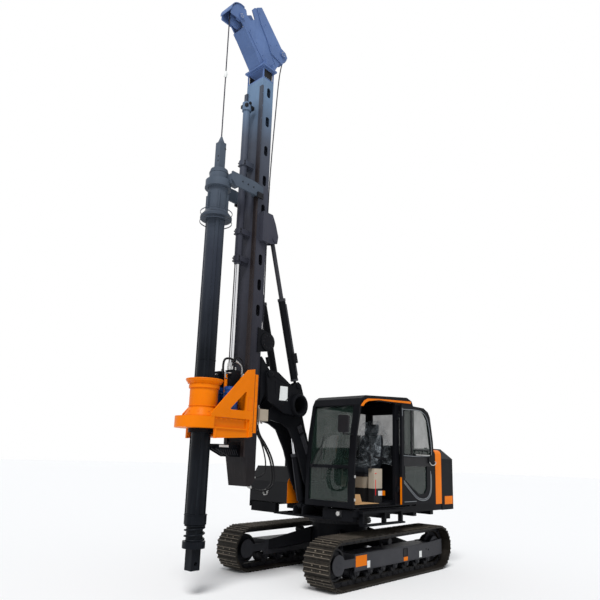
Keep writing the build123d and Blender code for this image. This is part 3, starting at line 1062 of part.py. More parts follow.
with BuildPart() as outer_tube:
    post(KELLY_X, 0, OUTER_TUBE_RADIUS, OUTER_TUBE_BOTTOM_Z, OUTER_FLANGE_Z)
    for turn in (60, 180, 300):
        centre = (KELLY_X + (OUTER_TUBE_RADIUS + 6) * math.cos(math.radians(turn)),
                  (OUTER_TUBE_RADIUS + 6) * math.sin(math.radians(turn)))
        with BuildSketch(level(OUTER_TUBE_BOTTOM_Z + 20)):
            with Locations(Location(centre, turn)):
                Rectangle(DRIVE_RIB_HEIGHT + 12, DRIVE_RIB_WIDTH)
        extrude(amount=OUTER_FLANGE_Z - OUTER_TUBE_BOTTOM_Z - 20)
    with BuildSketch(Plane(origin=at(KELLY_X, 0, 0), x_dir=(1, 0, 0), z_dir=(0, -1, 0))):
        with BuildLine():
            Polyline((0, OUTER_FLANGE_Z), (OUTER_FLANGE_RADIUS, OUTER_FLANGE_Z),
                     (OUTER_FLANGE_RADIUS, OUTER_FLANGE_Z + FLANGE_EDGE),
                     (NECK_RADIUS + 10, OUTER_FLANGE_Z + OUTER_FLANGE_THICK),
                     (NECK_RADIUS, OUTER_FLANGE_Z + OUTER_FLANGE_THICK), (NECK_RADIUS, GUIDE_BOTTOM_Z - RUNNING_GAP),
                     (0, GUIDE_BOTTOM_Z - RUNNING_GAP), close=True)
        make_face()
    revolve(axis=Axis((SLEW_X + KELLY_X, 0, 0), (0, 0, 1)))
    with BuildSketch(level(OUTER_FLANGE_Z + OUTER_FLANGE_THICK - 40)):
        with Locations((KELLY_X, 0)):
            with PolarLocations(NECK_RADIUS + 4, NECK_FINS):
                Rectangle(50, 22)
    extrude(amount=GUIDE_BOTTOM_Z - OUTER_FLANGE_Z - OUTER_FLANGE_THICK - 60)
    post(KELLY_X, 0, OUTER_TUBE_RADIUS + DRIVE_RIB_HEIGHT, OUTER_TUBE_BOTTOM_Z,
         OUTER_TUBE_BOTTOM_Z + TUBE_COLLAR_HEIGHT)
    post(KELLY_X, 0, OUTER_TUBE_BORE, OUTER_TUBE_BOTTOM_Z - 1, OUTER_FLANGE_Z, Mode.SUBTRACT)
    # The neck turns in the guide and hangs on its cap
    post(KELLY_X, 0, GUIDE_BORE - RUNNING_GAP, GUIDE_BOTTOM_Z - 5, GUIDE_TOP_Z + CAP_THICK)
    post(KELLY_X, 0, CAP_RADIUS, GUIDE_TOP_Z + RUNNING_GAP, GUIDE_TOP_Z + CAP_THICK)
    post(KELLY_X, 0, NECK_BORE, OUTER_FLANGE_Z - 1, GUIDE_TOP_Z + CAP_THICK + 1, Mode.SUBTRACT)
finish(outer_tube, "kelly_outer_tube")

with BuildPart() as inner_bar:
    half = INNER_BAR_WIDTH / 2
    block(KELLY_X - half, KELLY_X + half, -half, half, COLLAR_BOTTOM_Z, INNER_BAR_TOP_Z)
    post(KELLY_X, 0, COLLAR_RADIUS, COLLAR_BOTTOM_Z, SPRING_BOTTOM_Z)
    stub = STUB_WIDTH / 2
    block(KELLY_X - stub, KELLY_X + stub, -stub, stub, STUB_BOTTOM_Z, COLLAR_BOTTOM_Z)
    with BuildSketch(level(INNER_BAR_TOP_Z)):
        with Locations((KELLY_X, 0)):
            Circle(58)
    extrude(amount=SWIVEL_TOP_Z - INNER_BAR_TOP_Z, taper=20)
    shaft(KELLY_X, TOOL_PIN_Z, TOOL_PIN_RADIUS, -stub - 1, stub + 1, Mode.SUBTRACT)
finish(inner_bar, "kelly_inner_bar")

with BuildPart() as spring:
    reach = SPRING_TOP_Z - SPRING_BOTTOM_Z - SEAT_GAP
    ring_pitch = reach / SPRING_TURNS
    profile = [(SPRING_CORE_BORE, SPRING_BOTTOM_Z + SEAT_GAP)]
    for turn in range(SPRING_TURNS):
        z = SPRING_BOTTOM_Z + SEAT_GAP + turn * ring_pitch
        profile += [(SPRING_CORE_RADIUS, z), (COLLAR_RADIUS - 10, z + 0.2 * ring_pitch),
                    (COLLAR_RADIUS - 10, z + 0.2 * ring_pitch + SPRING_WIRE),
                    (SPRING_CORE_RADIUS, z + 0.4 * ring_pitch + SPRING_WIRE)]
    profile += [(SPRING_CORE_RADIUS, SPRING_TOP_Z), (SPRING_CORE_BORE, SPRING_TOP_Z)]
    with BuildSketch(Plane(origin=at(KELLY_X, 0, 0), x_dir=(1, 0, 0), z_dir=(0, -1, 0))):
        with BuildLine():
            Polyline(*profile, close=True)
        make_face()
    revolve(axis=Axis((SLEW_X + KELLY_X, 0, 0), (0, 0, 1)))
finish(spring, "kelly_spring")
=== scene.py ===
import math

import bmesh
import bpy
from mathutils import Matrix, Vector, noise as field


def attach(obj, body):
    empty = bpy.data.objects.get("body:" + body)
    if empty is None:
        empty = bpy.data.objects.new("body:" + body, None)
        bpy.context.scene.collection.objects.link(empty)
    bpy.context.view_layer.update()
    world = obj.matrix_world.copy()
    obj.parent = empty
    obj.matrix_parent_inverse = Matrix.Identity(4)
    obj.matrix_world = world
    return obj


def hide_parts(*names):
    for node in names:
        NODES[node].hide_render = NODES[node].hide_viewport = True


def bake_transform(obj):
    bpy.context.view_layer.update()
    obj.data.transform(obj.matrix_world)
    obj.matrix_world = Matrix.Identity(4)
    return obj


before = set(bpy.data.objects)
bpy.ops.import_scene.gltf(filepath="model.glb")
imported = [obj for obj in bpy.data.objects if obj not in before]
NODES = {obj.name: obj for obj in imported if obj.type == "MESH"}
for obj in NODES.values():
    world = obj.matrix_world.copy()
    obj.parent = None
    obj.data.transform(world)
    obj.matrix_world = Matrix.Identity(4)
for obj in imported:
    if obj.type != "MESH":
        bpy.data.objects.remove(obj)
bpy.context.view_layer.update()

# Rig coordinates are measured from the slew axis, in metres: X forward, Y left, Z up
SLEW_X = -0.715
UPPER, UNDER, DRIVE = "upperstructure", "undercarriage", "rotary_drive"


def P(x, y, z):
    """A point of the shared frame, from rig coordinates."""
    return Vector((SLEW_X + x, y, z))


def at_y(y, points):
    """Points of the shared frame for pairs of X and Z at one Y."""
    return [P(x, y, z) for x, z in points]


# Materials, by the key that pieces name them with
MATERIALS = {}


def link(out, into):
    into.id_data.links.new(out, into)


def node(tree, kind, **inputs):
    n = tree.nodes.new(kind)
    for key, value in inputs.items():
        n.inputs[key.replace("_", " ")].default_value = value
    return n


def noise(coords, scale, detail=3.0, roughness=0.55):
    n = node(coords.id_data, "ShaderNodeTexNoise", Scale=scale, Detail=detail, Roughness=roughness)
    link(coords, n.inputs["Vector"])
    return n.outputs["Fac"]


def span(value, low, high, to_low, to_high):
    """The value moved from one range to another and held inside it."""
    n = node(value.id_data, "ShaderNodeMapRange", From_Min=low, From_Max=high, To_Min=to_low, To_Max=to_high)
    n.clamp = True
    link(value, n.inputs["Value"])
    return n.outputs["Result"]


def mix(factor, a, b):
    """Colour a where the factor is 0 and b where it is 1; a and b are sockets or colours."""
    n = node(factor.id_data, "ShaderNodeMix")
    n.data_type = "RGBA"
    link(factor, n.inputs[0])
    for socket, value in ((n.inputs[6], a), (n.inputs[7], b)):
        if isinstance(value, tuple):
            socket.default_value = value + (1.0,)
        else:
            link(value, socket)
    return n.outputs[2]


def calc(operation, a, b):
    n = node(a.id_data, "ShaderNodeMath")
    n.operation = operation
    link(a, n.inputs[0])
    link(b, n.inputs[1])
    return n.outputs[0]


def bump(shader, height, strength, distance):
    n = node(shader.id_data, "ShaderNodeBump", Strength=strength, Distance=distance)
    link(height, n.inputs["Height"])
    link(n.outputs["Normal"], shader.inputs["Normal"])


def blank_material(name):
    """A new material, its shader and its object coordinates."""
    m = bpy.data.materials.new(name)
    m.use_nodes = True
    return m, m.node_tree.nodes["Principled BSDF"], node(m.node_tree, "ShaderNodeTexCoord").outputs["Object"]


def paint(key, name, color, rough, metallic=0.0, dust=0.25, dust_color=(0.32, 0.28, 0.23), wear=0.0,
          wear_color=(0.25, 0.24, 0.23), grain=0.0, grain_scale=300.0, coat=0.0, variation=0.12, peel=0.02,
          gloss=0.16, streaks=0.0, heights=(), along="Z"):
    """Paint or bare metal with soft colour variation, dust, streaks, orange peel and worn edges.

    heights lists (low, high, colour): from low to high along the axis the colour turns to that one. It serves
    two-tone paint, and painted light where a colour turns lighter with height."""
    MATERIALS[key], shader, coords = blank_material(name)
    tree = coords.id_data
    broad = noise(coords, 2.3, 5.0)
    fine = noise(coords, 38.0, 4.0, 0.65)
    soft = span(broad, 0.3, 0.7, 0.0, 1.0)

    def tinted(c):
        return mix(soft, tuple(v * (1 - variation) for v in c),
                   tuple(min(1.0, v * (1 + variation) + 0.002) for v in c))

    tint = tinted(color)
    if heights:
        split = node(tree, "ShaderNodeSeparateXYZ")
        link(coords, split.inputs[0])
    # colour bands along an axis: two-tone paint on some parts, and painted light that turns lighter with
    # height on the mast, rails and kelly
    for low, high, other in heights:
        tint = mix(span(split.outputs[along], low, high, 0.0, 1.0), tint, tinted(other))
    if streaks:
        squeeze = node(tree, "ShaderNodeMapping", Scale=(1.0, 1.0, 0.05))
        link(coords, squeeze.inputs["Vector"])
        run = noise(squeeze.outputs["Vector"], 26.0, 3.0, 0.6)
        tint = mix(span(run, 0.52, 0.72, 0.0, streaks), tint, dust_color)
    spots = calc("MULTIPLY", span(broad, 0.42, 0.78, 0.0, 1.0), span(fine, 0.35, 0.75, 0.0, dust))
    tint = mix(spots, tint, dust_color)
    if wear:
        edge = span(node(tree, "ShaderNodeNewGeometry").outputs["Pointiness"], 0.53, 0.62, 0.0, 1.0)
        tint = mix(calc("MULTIPLY", edge, span(fine, 0.42, 0.6, 0.0, wear)), tint, wear_color)
    link(tint, shader.inputs["Base Color"])
    link(span(fine, 0.3, 0.75, rough - 0.06, min(1.0, rough + 0.12)), shader.inputs["Roughness"])
    for socket, value in (("Metallic", metallic), ("Specular IOR Level", gloss), ("Coat Weight", coat),
                          ("Coat Roughness", 0.12)):
        shader.inputs[socket].default_value = value
    height = node(tree, "ShaderNodeMath")
    height.operation = "MULTIPLY_ADD"
    link(noise(coords, grain_scale, 2.0), height.inputs[0])
    height.inputs[1].default_value = grain + peel
    link(span(noise(coords, 14.0), 0.2, 0.8, 0.0, peel * 6), height.inputs[2])
    bump(shader, height.outputs[0], 1.0, 0.0006)


def clear(key, name, color, rough=0.02, alpha=(0.4, 0.5), scale=5.0, crease=0.0):
    """Glass with a dark colour that paints reflection, and clear film whose pale colour paints highlights
    along with its haze: the haze and painted highlights run from the first alpha to the second, and crease
    sharpens them.
    """
    MATERIALS[key], shader, coords = blank_material(name)
    haze_and_highlight = noise(coords, scale, 6.0, 0.7 if crease else 0.5)
    link(mix(haze_and_highlight, color, tuple(0.85 * c for c in color)), shader.inputs["Base Color"])
    link(span(haze_and_highlight, 0.3, 0.8, rough, rough + 0.06), shader.inputs["Roughness"])
    # painted highlights: the alpha rises in crisp patches, so the film's pale colour shows as highlights on
    # its creases, along with its haze
    link(span(haze_and_highlight, 0.35 + 0.28 * crease, 0.75 - 0.22 * crease, *alpha), shader.inputs["Alpha"])
    shader.inputs["Specular IOR Level"].default_value = 0.6
    if crease:
        bump(shader, noise(coords, 2.5 * scale, 4.0), crease, 0.01)


paint("black", "black_paint", (0.0058, 0.0062, 0.008), 0.34, dust=0.04, gloss=0.035, streaks=0.03,
    dust_color=(0.05, 0.05, 0.05))
# painted light: the mast paint turns lighter and bluer with height, standing in for the brighter light on the
# upper mast and the shade lower down
paint("mast", "mast_paint", (0.014, 0.012, 0.013), 0.42, dust=0.08, gloss=0.1, streaks=0.1,
    dust_color=(0.1, 0.09, 0.09), heights=((1.7, 2.6, (0.02, 0.02, 0.028)), (3.6, 5.6, (0.045, 0.047, 0.064)),
    (5.8, 7.2, (0.075, 0.088, 0.118)), (7.2, 8.1, (0.145, 0.225, 0.345))))
paint("head", "head_paint", (0.105, 0.172, 0.36), 0.45, dust=0.12, gloss=0.14, streaks=0.12,
    dust_color=(0.24, 0.34, 0.52))
# painted light: the rail steel turns lighter and bluer towards the top, standing in for the brighter light up
# there
paint("rail", "rail_steel", (0.018, 0.013, 0.014), 0.4, metallic=0.2, dust=0.2, gloss=0.15, streaks=0.3,
    dust_color=(0.075, 0.06, 0.06), heights=((6.6, 8.0, (0.06, 0.072, 0.1)),))
# painted light: the kelly paint turns lighter and bluer with height, standing in for the brighter light at
# its top and the shade lower down
paint("kelly", "kelly_paint", (0.0035, 0.0048, 0.0075), 0.38, dust=0.08, gloss=0.08, streaks=0.15,
    dust_color=(0.05, 0.06, 0.07), heights=((3.4, 4.8, (0.024, 0.029, 0.042)),
    (5.0, 6.2, (0.075, 0.095, 0.125))))
paint("orange", "orange_paint", (0.8, 0.185, 0.0), 0.38, dust=0.04, coat=0.02, gloss=0.08, streaks=0.05,
    dust_color=(0.42, 0.13, 0.01), variation=0.06)
paint("side_orange", "side_orange_paint", (0.0062, 0.0066, 0.0085), 0.36, dust=0.03, gloss=0.12,
    dust_color=(0.05, 0.05, 0.05), along="Y", heights=((-0.268, -0.264, (0.8, 0.19, 0.0)),))
paint("blue", "blue_paint", (0.006, 0.06, 0.27), 0.32, dust=0.12, coat=0.1, gloss=0.2)
paint("track", "track_steel", (0.012, 0.01, 0.008), 0.55, metallic=0.2, dust=0.4, wear=0.12, grain=0.5,
    dust_color=(0.06, 0.048, 0.034), wear_color=(0.2, 0.18, 0.15))
paint("worn", "worn_steel", (0.2, 0.17, 0.135), 0.48, metallic=0.35, dust=0.9, grain=0.8,
    dust_color=(0.035, 0.028, 0.02), variation=0.5)
paint("cast", "cast_dark", (0.0085, 0.009, 0.012), 0.5, metallic=0.1, dust=0.25, wear=0.06, grain=0.6,
    dust_color=(0.035, 0.033, 0.032), gloss=0.15)
paint("grey", "grey_steel", (0.03, 0.031, 0.037), 0.45, metallic=0.1, dust=0.25, grain=0.3,
    dust_color=(0.07, 0.065, 0.06), gloss=0.18)
paint("steel", "bare_steel", (0.5, 0.5, 0.49), 0.3, metallic=0.85, dust=0.15, grain=0.2, gloss=0.4)
paint("rope", "rope_steel", (0.03, 0.03, 0.042), 0.45, metallic=0.4, dust=0.2, grain=0.2)
paint("chrome", "rod_chrome", (0.72, 0.72, 0.74), 0.1, metallic=1.0, dust=0.04, peel=0.0, gloss=0.5)
paint("rubber_and_shade", "hose_rubber", (0.0055, 0.0055, 0.0065), 0.42, dust=0.08, grain=0.25,
    dust_color=(0.05, 0.05, 0.05))
paint("plastic", "cab_plastic", (0.008, 0.008, 0.01), 0.5, dust=0.08, grain=1.2, grain_scale=700.0,
    dust_color=(0.06, 0.06, 0.06))
paint("beige", "beige_plastic", (0.42, 0.36, 0.28), 0.55, dust=0.2, grain=1.0, grain_scale=600.0)
paint("seat_side", "seat_side_plastic", (0.012, 0.012, 0.013), 0.55, dust=0.1, grain=1.0, grain_scale=600.0,
    heights=((1.452, 1.456, (0.44, 0.38, 0.3)),))
paint("fabric", "seat_fabric", (0.01, 0.012, 0.016), 0.85, dust=0.1, grain=3.0, grain_scale=900.0,
    dust_color=(0.06, 0.07, 0.08))
paint("white", "white_plate", (0.78, 0.8, 0.79), 0.45, dust=0.12)
paint("trim", "grey_trim", (0.17, 0.185, 0.2), 0.45, dust=0.15, grain=0.4)
paint("card", "floor_card", (0.56, 0.34, 0.16), 0.8, dust=0.2, grain=1.6, grain_scale=240.0,
    dust_color=(0.3, 0.2, 0.11))
paint("red", "red_webbing", (0.72, 0.008, 0.008), 0.6, dust=0.05, grain=1.0, grain_scale=900.0)
# painted reflection: the glass's dark green colour stands in for the dark surroundings it reflects
clear("glass", "window_glass", (0.016, 0.03, 0.024), alpha=(0.48, 0.6))
# painted highlights: the film's pale colour in crisp patches of alpha paints highlights on its creases, along
# with its haze
clear("film", "clear_film", (0.5, 0.56, 0.6), rough=0.16, alpha=(0.05, 0.6), scale=9.0, crease=0.35)


# Mesh building

def smooth_line(points, steps=8):
    """Points along a smooth curve through the given points."""
    points = [Vector(p) for p in points]
    ends = [2 * points[0] - points[1]] + points + [2 * points[-1] - points[-2]]
    line = [points[0]]
    for a, b, c, d in zip(ends, ends[1:], ends[2:], ends[3:]):
        for k in range(1, steps + 1):
            t = k / steps
            line.append(0.5 * ((2 * b) + (c - a) * t + (2 * a - 5 * b + 4 * c - d) * t * t
                               + (3 * b - a - 3 * c + d) * t * t * t))
    return line


def soften(obj, width, segments=2, angle=32.0):
    """Rounds an object's sharp edges."""
    modifier = obj.modifiers.new("edges", "BEVEL")
    modifier.width = width
    modifier.segments = segments
    modifier.limit_method = "ANGLE"
    modifier.angle_limit = math.radians(angle)
    modifier.harden_normals = True
    modifier.use_clamp_overlap = True


def ring_points(count, start=0.0):
    """Unit circle points."""
    return [(math.cos(start + 2 * math.pi * i / count), math.sin(start + 2 * math.pi * i / count))
            for i in range(count)]


# Turned caps keep a hole of this radius at their axis, too small to see
AXIS = 0.0005
ROPE_R, ROPE_PITCH, ROPE_STRANDS, ROPE_GROOVE = 0.011, 0.16, 6, 0.76


def capped(*outline):
    """The closed profile of a turned cap, from its outline away from the axis."""
    return [(AXIS, 0), *outline, (AXIS, outline[-1][1])]


def rope_section():
    """A wire rope's outline, with a groove between its strands."""
    radii = [ROPE_R * (1.0 if i % 2 else ROPE_GROOVE) for i in range(2 * ROPE_STRANDS)]
    return [(r * c, r * s) for r, (c, s) in zip(radii, ring_points(2 * ROPE_STRANDS))]


def line_frame(x0, z0, x1, z1):
    """Unit way from one X and Z to another, and the way across it."""
    way = Vector((x1 - x0, 0, z1 - z0)).normalized()
    return way, Vector((way.z, 0, -way.x))


def rectangle(centre, along, across, a, b):
    """Corners at half lengths a and b from a centre."""
    return [centre + along * u + across * v for u, v in ((-a, -b), (a, -b), (a, b), (-a, b))]


class Piece:
    """Collects plain solids into one mesh, all in rig coordinates."""

    def __init__(self, name, body, material, slot=None):
        self.name, self.body, self.material, self.slot = name, body, material, slot
        self.bm = bmesh.new()

    def skin(self, loops, closed=False, caps=True):
        """Faces between point loops of one length."""
        rows = [[self.bm.verts.new(p) for p in loop] for loop in loops]
        count = len(rows[0])
        pairs = list(zip(rows, rows[1:])) + ([(rows[-1], rows[0])] if closed else [])
        for a, b in pairs:
            for i in range(count):
                j = (i + 1) % count
                self.bm.faces.new((a[i], a[j], b[j], b[i]))
        if caps and not closed:
            self.bm.faces.new(rows[0][::-1])
            self.bm.faces.new(rows[-1])
        return self

    def solid(self, points, shift):
        """A prism from a closed outline of points moved along a vector."""
        return self.skin([points, [Vector(p) + Vector(shift) for p in points]])

    def box(self, x, y, z):
        (x0, x1), (y0, y1), (z0, z1) = sorted(x), sorted(y), sorted(z)
        return self.solid([P(x0, y0, z0), P(x1, y0, z0), P(x1, y1, z0), P(x0, y1, z0)], (0, 0, z1 - z0))

    def plate(self, outline, y0, y1):
        """An XZ outline between two Y values."""
        y0, y1 = sorted((y0, y1))
        return self.solid([P(x, y0, z) for x, z in outline], (0, y1 - y0, 0))

    def rod(self, start, end, r, segments=24, r_end=None, hollow=None):
        """A round bar or cone, or a tube when hollow gives its inner radius."""
        start, end = Vector(start), Vector(end)
        turn = (end - start).to_track_quat("Z", "Y").to_matrix()
        rings = [(start, r), (end, r if r_end is None else r_end)]
        if hollow:
            rings += [(end, hollow), (start, hollow)]
        loops = [[centre + turn @ Vector((radius * c, radius * s, 0)) for c, s in ring_points(segments)]
                 for centre, radius in rings]
        return self.skin(loops, closed=bool(hollow))

    def bar(self, x, y, z, *rest, **options):
        """A rod along one axis: the coordinate given as a pair holds its two ends."""
        ends = [P(*(v[k] if isinstance(v, tuple) else v for v in (x, y, z))) for k in (0, 1)]
        return self.rod(*ends, *rest, **options)

    def lathe(self, profile, base, axis=(0, 0, 1), segments=40):
        """A closed profile of (radius, height) turned round an axis from a base point."""
        turn = Vector(axis).to_track_quat("Z", "Y").to_matrix()
        loops = [[Vector(base) + turn @ Vector((r * c, r * s, h)) for c, s in ring_points(segments)]
                 for r, h in profile]
        return self.skin(loops, closed=True)

    def bolt(self, centre, axis, r, height=None):
        """A hexagon head on a washer, standing on a face."""
        axis = Vector(axis).normalized()
        height = height or 0.7 * r
        centre = Vector(centre)
        self.rod(centre - axis * 0.001, centre + axis * 0.2 * height, 1.3 * r, 10)
        return self.rod(centre + axis * 0.2 * height, centre + axis * height, r, 6)

    def bolts(self, centre, axis, radius, count, r, start=0.0, height=None):
        """Bolt heads on a circle round an axis."""
        turn = Vector(axis).to_track_quat("Z", "Y").to_matrix()
        for c, s in ring_points(count, start):
            self.bolt(Vector(centre) + turn @ Vector((radius * c, radius * s, 0)), axis, r, height)
        return self

    def side_bolts(self, y, places, r):
        """Bolt heads on the left and right faces at Y, at pairs of X and Z."""
        for side in (1, -1):
            for x, z in places:
                self.bolt(P(x, side * y, z), (0, side, 0), r)
        return self

    def side_boxes(self, x, y, z):
        """A box on the left and its mirror image on the right."""
        for side in (1, -1):
            self.box(x, (side * y[0], side * y[1]), z)
        return self

    def sweep(self, points, r, segments=12, steps=8):
        """A round bar along a smooth line through points, with closed ends."""
        return self.follow(smooth_line(points, steps), [[(r * c, r * s) for c, s in ring_points(segments)]])

    def follow(self, line, sections, twist=0.0):
        """A section carried along a line, turned by twist radians a metre; sections repeat in order."""
        previous, loops, way = None, [], 0.0
        for i, centre in enumerate(line):
            way += (centre - line[i - 1]).length if i else 0.0
            ahead = (line[min(i + 1, len(line) - 1)] - line[max(i - 1, 0)]).normalized()
            turn = ahead.to_track_quat("Z", "Y").to_matrix() if previous is None else (
                previous[1].rotation_difference(ahead).to_matrix() @ previous[0])
            previous = (turn, ahead)
            c, s = math.cos(twist * way), math.sin(twist * way)
            loops.append([centre + turn @ Vector((a * c - b * s, a * s + b * c, 0))
                          for a, b in sections[i % len(sections)]])
        return self.skin(loops)

    def strands(self, points, spacing=0.016):
        """A laid wire rope along a smooth line."""
        rough = smooth_line(points)
        line = [rough[0]]
        for a, b in zip(rough, rough[1:]):
            count = max(1, round((b - a).length / spacing))
            line += [a.lerp(b, (k + 1) / count) for k in range(count)]
        return self.follow(line, [rope_section()], 2 * math.pi / ROPE_PITCH)

    def done(self, bevel=0.0, segments=2, smooth=35.0, replaces=(), subdivide=0):
        bmesh.ops.recalc_face_normals(self.bm, faces=self.bm.faces)
        mesh = bpy.data.meshes.new(self.name)
        self.bm.to_mesh(mesh)
        self.bm.free()
        obj = bpy.data.objects.new(self.name, mesh)
        bpy.context.scene.collection.objects.link(obj)
        mesh.materials.append(MATERIALS[self.material])
        if bevel:
            soften(obj, bevel, segments)
        if subdivide:
            modifier = obj.modifiers.new("smooth", "SUBSURF")
            modifier.levels = modifier.render_levels = subdivide
        mesh.shade_smooth() if subdivide else mesh.set_sharp_from_angle(angle=math.radians(smooth))
        if self.body:
            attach(obj, self.body)
        if replaces:
            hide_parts(*replaces)
        return obj


# Camera, fitted to the photograph
CAMERA_AT = P(8.52441609, 6.66354982, 1.89376616)
YAW, PITCH, ROLL = (math.radians(a) for a in (222.26483919, 12.55238975, 1.8277018))
FOCAL_PIXELS, CENTRE_X, CENTRE_Y, FRAME_PIXELS = 563.90586359, 301.95325883, 333.83326043, 600.0
forward = Vector((math.cos(YAW) * math.cos(PITCH), math.sin(YAW) * math.cos(PITCH), math.sin(PITCH)))
right = forward.cross(Vector((0, 0, 1))).normalized()
up = right.cross(forward)
right, up = (math.cos(ROLL) * right + math.sin(ROLL) * up, math.cos(ROLL) * up - math.sin(ROLL) * right)
camera_data = bpy.data.cameras.new("camera")
camera = bpy.data.objects.new("camera", camera_data)
bpy.context.scene.collection.objects.link(camera)
camera.matrix_world = Matrix.Translation(CAMERA_AT) @ Matrix((right, up, -forward)).transposed().to_4x4()
camera_data.sensor_width = 36.0
camera_data.lens = 36.0 * FOCAL_PIXELS / FRAME_PIXELS
camera_data.shift_x = (FRAME_PIXELS / 2 - CENTRE_X) / FRAME_PIXELS
camera_data.shift_y = (CENTRE_Y - FRAME_PIXELS / 2) / FRAME_PIXELS
camera_data.clip_end = 300.0
bpy.context.scene.camera = camera

# Hoses: each is one smooth spline over its route's points, given as X and Z
OUTER_LOOP = ((2.29, 2.4647), (2.29, 2.3), (2.05, 2.07), (1.88, 1.8), (1.86, 1.42), (2.2884, 1.3734),
    (2.4298, 1.5148))
INNER_LOOP = ((2.335, 2.4647), (2.335, 2.3), (2.19, 2.06), (2.1, 1.8), (2.15, 1.6), (2.3847, 1.6))
DRIVE_LOOP = ((2.94, 3.1903), (2.94, 3.35), (2.82, 3.42), (2.7, 3.33), (2.7, 3.1003))
# Name, body, Y, diameter, length, route, how far the end fittings reach
HOSES = (
    ("mast_hose_outer", "mast", 0.06, 0.03, 1.73, OUTER_LOOP, (0.075, 0.1)),
    ("mast_hose_middle", "mast", 0.11, 0.03, 1.73, OUTER_LOOP, (0.075, 0.1)),
    ("mast_hose_inner", "mast", 0.155, 0.022, 1.12, INNER_LOOP, (0.06, 0.06)),
    ("drive_hose", DRIVE, 0.17, 0.018, 0.63, DRIVE_LOOP, (0.05, 0.06)),
)


def fitting(piece, end, way, r, reach):
    """Nut, ferrule and tapered sleeve of a hose end; way points along the hose."""
    way = way.normalized()
    piece.rod(end, end + way * 0.22 * reach, 1.55 * r, 6)
    piece.rod(end + way * 0.2 * reach, end + way * 0.32 * reach, 1.25 * r, 16)
    piece.rod(end + way * 0.3 * reach, end + way * 0.75 * reach, 1.35 * r, 20)
    piece.rod(end + way * 0.75 * reach, end + way * reach, 1.35 * r, 20, r_end=1.08 * r)


for name, body, y, diameter, length, route, (first, last) in HOSES:
    curve = bpy.data.curves.new(name + "_line", "CURVE")
    curve.dimensions = "3D"
    spline = curve.splines.new("NURBS")
    spline.points.add(len(route) - 1)
    for point, (x, z) in zip(spline.points, route):
        point.co = (*P(x, y, z), 1.0)
    spline.order_u = 3
    spline.use_endpoint_u = True
    curve.resolution_u = 16
    curve.bevel_depth = diameter / 2
    curve.bevel_resolution = 4
    curve.use_fill_caps = True
    curve.materials.append(MATERIALS["rubber_and_shade"])
    hose = bpy.data.objects.new(name + "_tube", curve)
    bpy.context.scene.collection.objects.link(hose)
    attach(hose, body)
    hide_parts(name)
    ends = [P(x, y, z) for x, z in route]
    fittings = Piece(name + "_fittings", body, "steel")
    fitting(fittings, ends[0], ends[1] - ends[0], diameter / 2, first)
    fitting(fittings, ends[-1], ends[-2] - ends[-1], diameter / 2, last)
    fittings = fittings.done()

# CAD pieces by material and width of edge rounding; the others take PLAIN
FINISH = {
    ("track", 0): "track_left track_right",
    ("cast", 0): "drive_sprockets front_idlers track_rollers slew_ring_lower engine_block winch_drum",
    ("glass", 0): "door_glass cab_glass",
    ("plastic", 0): "cab_mirror",
    ("fabric", 0): "operator_seat",
    ("head", 0): "front_sheave rear_sheave",
    ("chrome", 0): "crowd_cylinder_rod lift_cylinder_rod",
    ("rail", 0.002): "mast_rails",
    ("mast", 0.002): "crowd_cylinder_barrel",
    ("kelly", 0.002): "kelly_outer_tube kelly_inner_bar",
    ("grey", 0.002): "tilt_cylinder_rods",
    ("mast", 0.003): "tilt_cylinder_ears",
    ("head", 0.003): "mast_head",
    ("black", 0.003): "mast_foot_stop",
    ("kelly", 0.003): "kelly_guide",
    ("orange", 0.003): "drive_carriage",
    ("mast", 0.004): "mast_column",
    ("beige", 0.004): "mast_valve_block",
    ("orange", 0.004): "gear_case",
    ("blue", 0.004): "rotary_motors",
    ("grey", 0.004): "track_frame_left track_frame_right",
    ("black", 0.004): "motor_valve_blocks engine_hood boom_arms",
    ("seat_side", 0.006): "seat_base",
    ("black", 0.006): "hydraulic_tank cab_shell car_body",
    ("side_orange", 0.01): "front_tool_box",
    ("black", 0.018): "counterweight",
}
PLAIN = ("black", 0.002)
finish_of = {name: finish for finish, names in FINISH.items() for name in names.split()}
for name, obj in NODES.items():
    material, width = finish_of.get(name, PLAIN)
    obj.data.materials.clear()
    obj.data.materials.append(MATERIALS[material])
    if width:
        soften(obj, width, 2, 40.0)

# Track shoes, followed at the height of the link pins
PIN_DEPTH, SHOE_TOP, SHOES = 0.077, 0.057, 44
FRONT_CENTRE, REAR_CENTRE = (1.48, 0.37), (-1.464, 0.386)
FRONT_PIN_R, REAR_PIN_R = FRONT_CENTRE[1] - PIN_DEPTH, REAR_CENTRE[1] - PIN_DEPTH
RUN = FRONT_CENTRE[0] - REAR_CENTRE[0]
LOOP = 2 * RUN + math.pi * (FRONT_PIN_R + REAR_PIN_R)
TRACK_Y, CHAIN_HALF = 0.995, 0.07
# A link's outline: shares of the pitch, and distances from the line of the pins
LINK_OUTLINE = ((0.14, -0.034), (0.5, -0.024), (0.86, -0.034), (0.94, 0.01), (0.8, 0.038), (0.2, 0.038),
    (0.06, 0.01))
GROUSERS, GROUSER_HEIGHT, GROUSER_HALF = (-0.06, 0.0, 0.06), 0.0196, 0.246


def pin_point(way):
    """A pin's X and Z, starting under the front idler and going back along the ground."""
    way %= LOOP
    if way < RUN:
        return FRONT_CENTRE[0] - way, PIN_DEPTH
    way -= RUN
    if way < math.pi * REAR_PIN_R:
        turn = way / REAR_PIN_R
        return REAR_CENTRE[0] - REAR_PIN_R * math.sin(turn), REAR_CENTRE[1] - REAR_PIN_R * math.cos(turn)
    way -= math.pi * REAR_PIN_R
    if way < RUN:
        share = way / RUN
        low, high = REAR_CENTRE[1] + REAR_PIN_R, FRONT_CENTRE[1] + FRONT_PIN_R
        return REAR_CENTRE[0] + way, low + (high - low) * share
    turn = (way - RUN) / FRONT_PIN_R
    return FRONT_CENTRE[0] + FRONT_PIN_R * math.sin(turn), FRONT_CENTRE[1] + FRONT_PIN_R * math.cos(turn)


